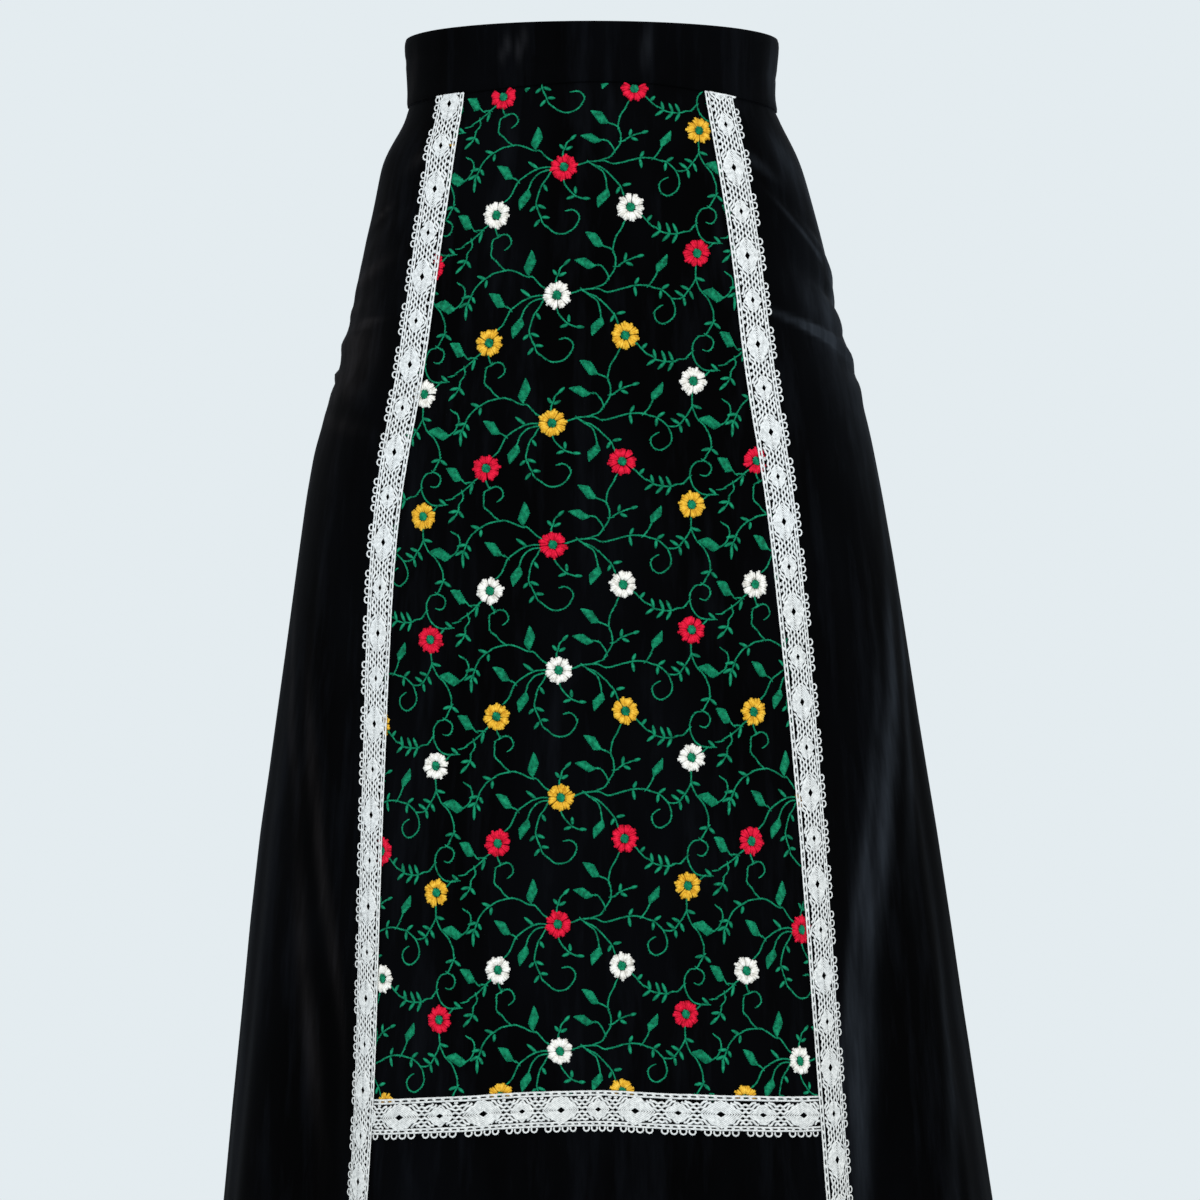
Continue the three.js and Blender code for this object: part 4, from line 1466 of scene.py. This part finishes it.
def zip_tape():
    heights = np.linspace(TAPE_HIGH, TAPE_LOW - TAPE["past"], TAPE_GRID["down"])
    widths = np.linspace(TAPE["half"], -TAPE["half"], TAPE_GRID["across"])
    across, z = np.meshgrid(widths, heights)
    outer = np.full(z.shape, TAPE["face"])
    inner = outer - TAPE["wall"]
    piece = shell("zip_tapes", at_back(across, z), z, outer, inner, (TAPE_CLOTH, TAPE_CLOTH))
    return dress(piece, "zip_tape")


def zip_teeth():
    """Metal teeth that lock in turn down the middle of the tape, and the stop below them."""
    threads = Threads()
    low, high = TAPE_LOW + TEETH_END["above"], TAPE_HIGH - TEETH_END["below"]
    heights = np.arange(low, high, TEETH["pitch"] / 2)
    sides = np.where(np.arange(len(heights)) % 2, 1, -1)
    stations = np.array([-TEETH["overlap"], TEETH["reach"] * 0.5, TEETH["reach"]])
    half_width, half_height = TEETH["half"]
    stop = np.array([[-1, 0, 1]]) * ZIP_STOP["reach"]
    for across, levels, half in (
        (sides[:, None] * stations, heights, half_width),
        (stop, np.array([TAPE_LOW + ZIP_STOP["above"]]), ZIP_STOP["half_width"]),
    ):
        z = np.repeat(levels[:, None], 3, axis=1)
        azimuth = at_back(across, z)
        normal = cloth.normal(azimuth, z)
        place = cloth.face(azimuth, z) + normal * TEETH["lift"]
        threads.add(place, normal, half, half_height)
    return dress(threads.piece("zip_teeth", METAL))


def softened_metal(name, node, body):
    """A copy of a metal node with its corners eased."""
    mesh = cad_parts[node].data.copy()
    form = bmesh.new()
    form.from_mesh(mesh)
    bmesh.ops.remove_doubles(form, verts=form.verts, dist=0.002 * MM)
    bmesh.ops.dissolve_limit(form, angle_limit=0.02, verts=form.verts, edges=form.edges)
    sharp = [e for e in form.edges if len(e.link_faces) == 2 and e.calc_face_angle() > 0.5]
    eased = {"offset": 0.18 * MM, "segments": 2, "profile": 0.6, "clamp_overlap": True}
    bmesh.ops.bevel(form, geom=sharp, affect="EDGES", **eased)
    form.to_mesh(mesh)
    form.free()
    mesh.materials.clear()
    mesh.materials.append(METAL)
    piece = bpy.data.objects.new(name, mesh)
    bpy.context.scene.collection.objects.link(piece)
    return dress(piece, node, body)


ZIP_TAPE = zip_tape()
zip_teeth()
softened_metal("zip_slider_body", "zip_slider", BODY)
softened_metal("zip_pull_tab", "zip_pull", "pull")


# Cloth as it was cut. Each panel's cut is as wide as its widest row and as long as its side seam.
def cut_of(name):
    """Width, length and area of a panel's cut, in metres, from where its seams lie."""
    heights, low, high = SPANS[name].T
    rows = cloth.face(np.linspace(low, high, 40), heights[None, :])
    across = np.linalg.norm(np.diff(rows, axis=0), axis=-1).sum(axis=0)
    middle = cloth.face((low + high) / 2, heights)
    steps = np.linalg.norm(np.diff(middle, axis=0), axis=-1)
    area = (steps * (across[1:] + across[:-1]) / 2).sum()
    return across.max() * MM, steps.sum() * MM, area * MM * MM


def declare_sheets():
    trims = {
        "embroidered_panel": EMBROIDERY,
        "lower_panel": [LACES["lower"]],
        "side_front_left": [LACES["left"]],
        "side_front_right": [LACES["right"]],
        "back_left": [ZIP_TAPE],
        "back_right": [],
    }
    for name, pieces in trims.items():
        width, length, area = cut_of(name)


declare_sheets()


# Stage, light and camera, in metres and watts
FLOOR = {"radius": 1.5, "below": 0.02, "colour": (0.80, 0.84, 0.86, 1)}
SKY = (0.775, 0.838, 0.870, 1)
LIT = (0, 0, -0.4)
LAMPS = table(
    "name place size power colour",
    ("key", (1.3, -2.6, 1.0), 1.6, 46, (1.0, 0.99, 0.97)),
    ("fill", (-1.8, -2.2, 0.3), 1.8, 22, (0.92, 0.96, 1.0)),
    ("back", (0.2, 2.4, 1.2), 1.6, 26, (0.96, 0.98, 1.0)),
)
CAMERA = {"lens": 118.2, "sensor": 36, "place": (0.0053, -2.6, -0.3478)}


def stage_floor():
    """A pale floor under the skirt whose rim fades into the background."""
    radius = FLOOR["radius"]
    low = HEM * MM - FLOOR["below"]
    bpy.ops.mesh.primitive_circle_add(
        vertices=96, radius=radius, fill_type="NGON", location=(0, 0, low)
    )
    floor = bpy.context.object
    floor.name = "floor"
    m = Nodes("floor_paper", 0.9, specular=0.1)
    m.set("Base Color", FLOOR["colour"])
    length = m.new("VectorMath")
    length.operation = "LENGTH"
    m.join(m.place, length, 0)
    fade = m.new("MapRange", From_Min=0.7 * radius, From_Max=radius, To_Min=1, To_Max=0)
    m.join(length.outputs["Value"], fade, "Value")
    m.join(fade.outputs["Result"], m.shader, "Alpha")
    floor.data.materials.append(m.material)


def area_light(name, place, size, power, colour):
    data = bpy.data.lights.new(name, "AREA")
    data.shape = "SQUARE"
    data.size = size
    data.energy = power
    data.color = colour
    lamp = bpy.data.objects.new(name, data)
    lamp.location = place
    lamp.rotation_euler = (Vector(LIT) - Vector(place)).to_track_quat("-Z", "Y").to_euler()
    bpy.context.scene.collection.objects.link(lamp)


def light_scene():
    world = bpy.data.worlds.new("studio")
    world.use_nodes = True
    background = world.node_tree.nodes["Background"]
    background.inputs["Color"].default_value = SKY
    background.inputs["Strength"].default_value = 1.0
    bpy.context.scene.world = world
    for lamp in LAMPS:
        area_light(**lamp)
    bpy.context.scene.view_settings.view_transform = "Standard"


def camera():
    data = bpy.data.cameras.new("camera")
    data.lens = CAMERA["lens"]
    data.sensor_width = CAMERA["sensor"]
    view = bpy.data.objects.new("camera", data)
    view.location = CAMERA["place"]
    view.rotation_euler = (np.pi / 2, 0, 0)
    bpy.context.scene.collection.objects.link(view)
    bpy.context.scene.camera = view


stage_floor()
light_scene()
camera()
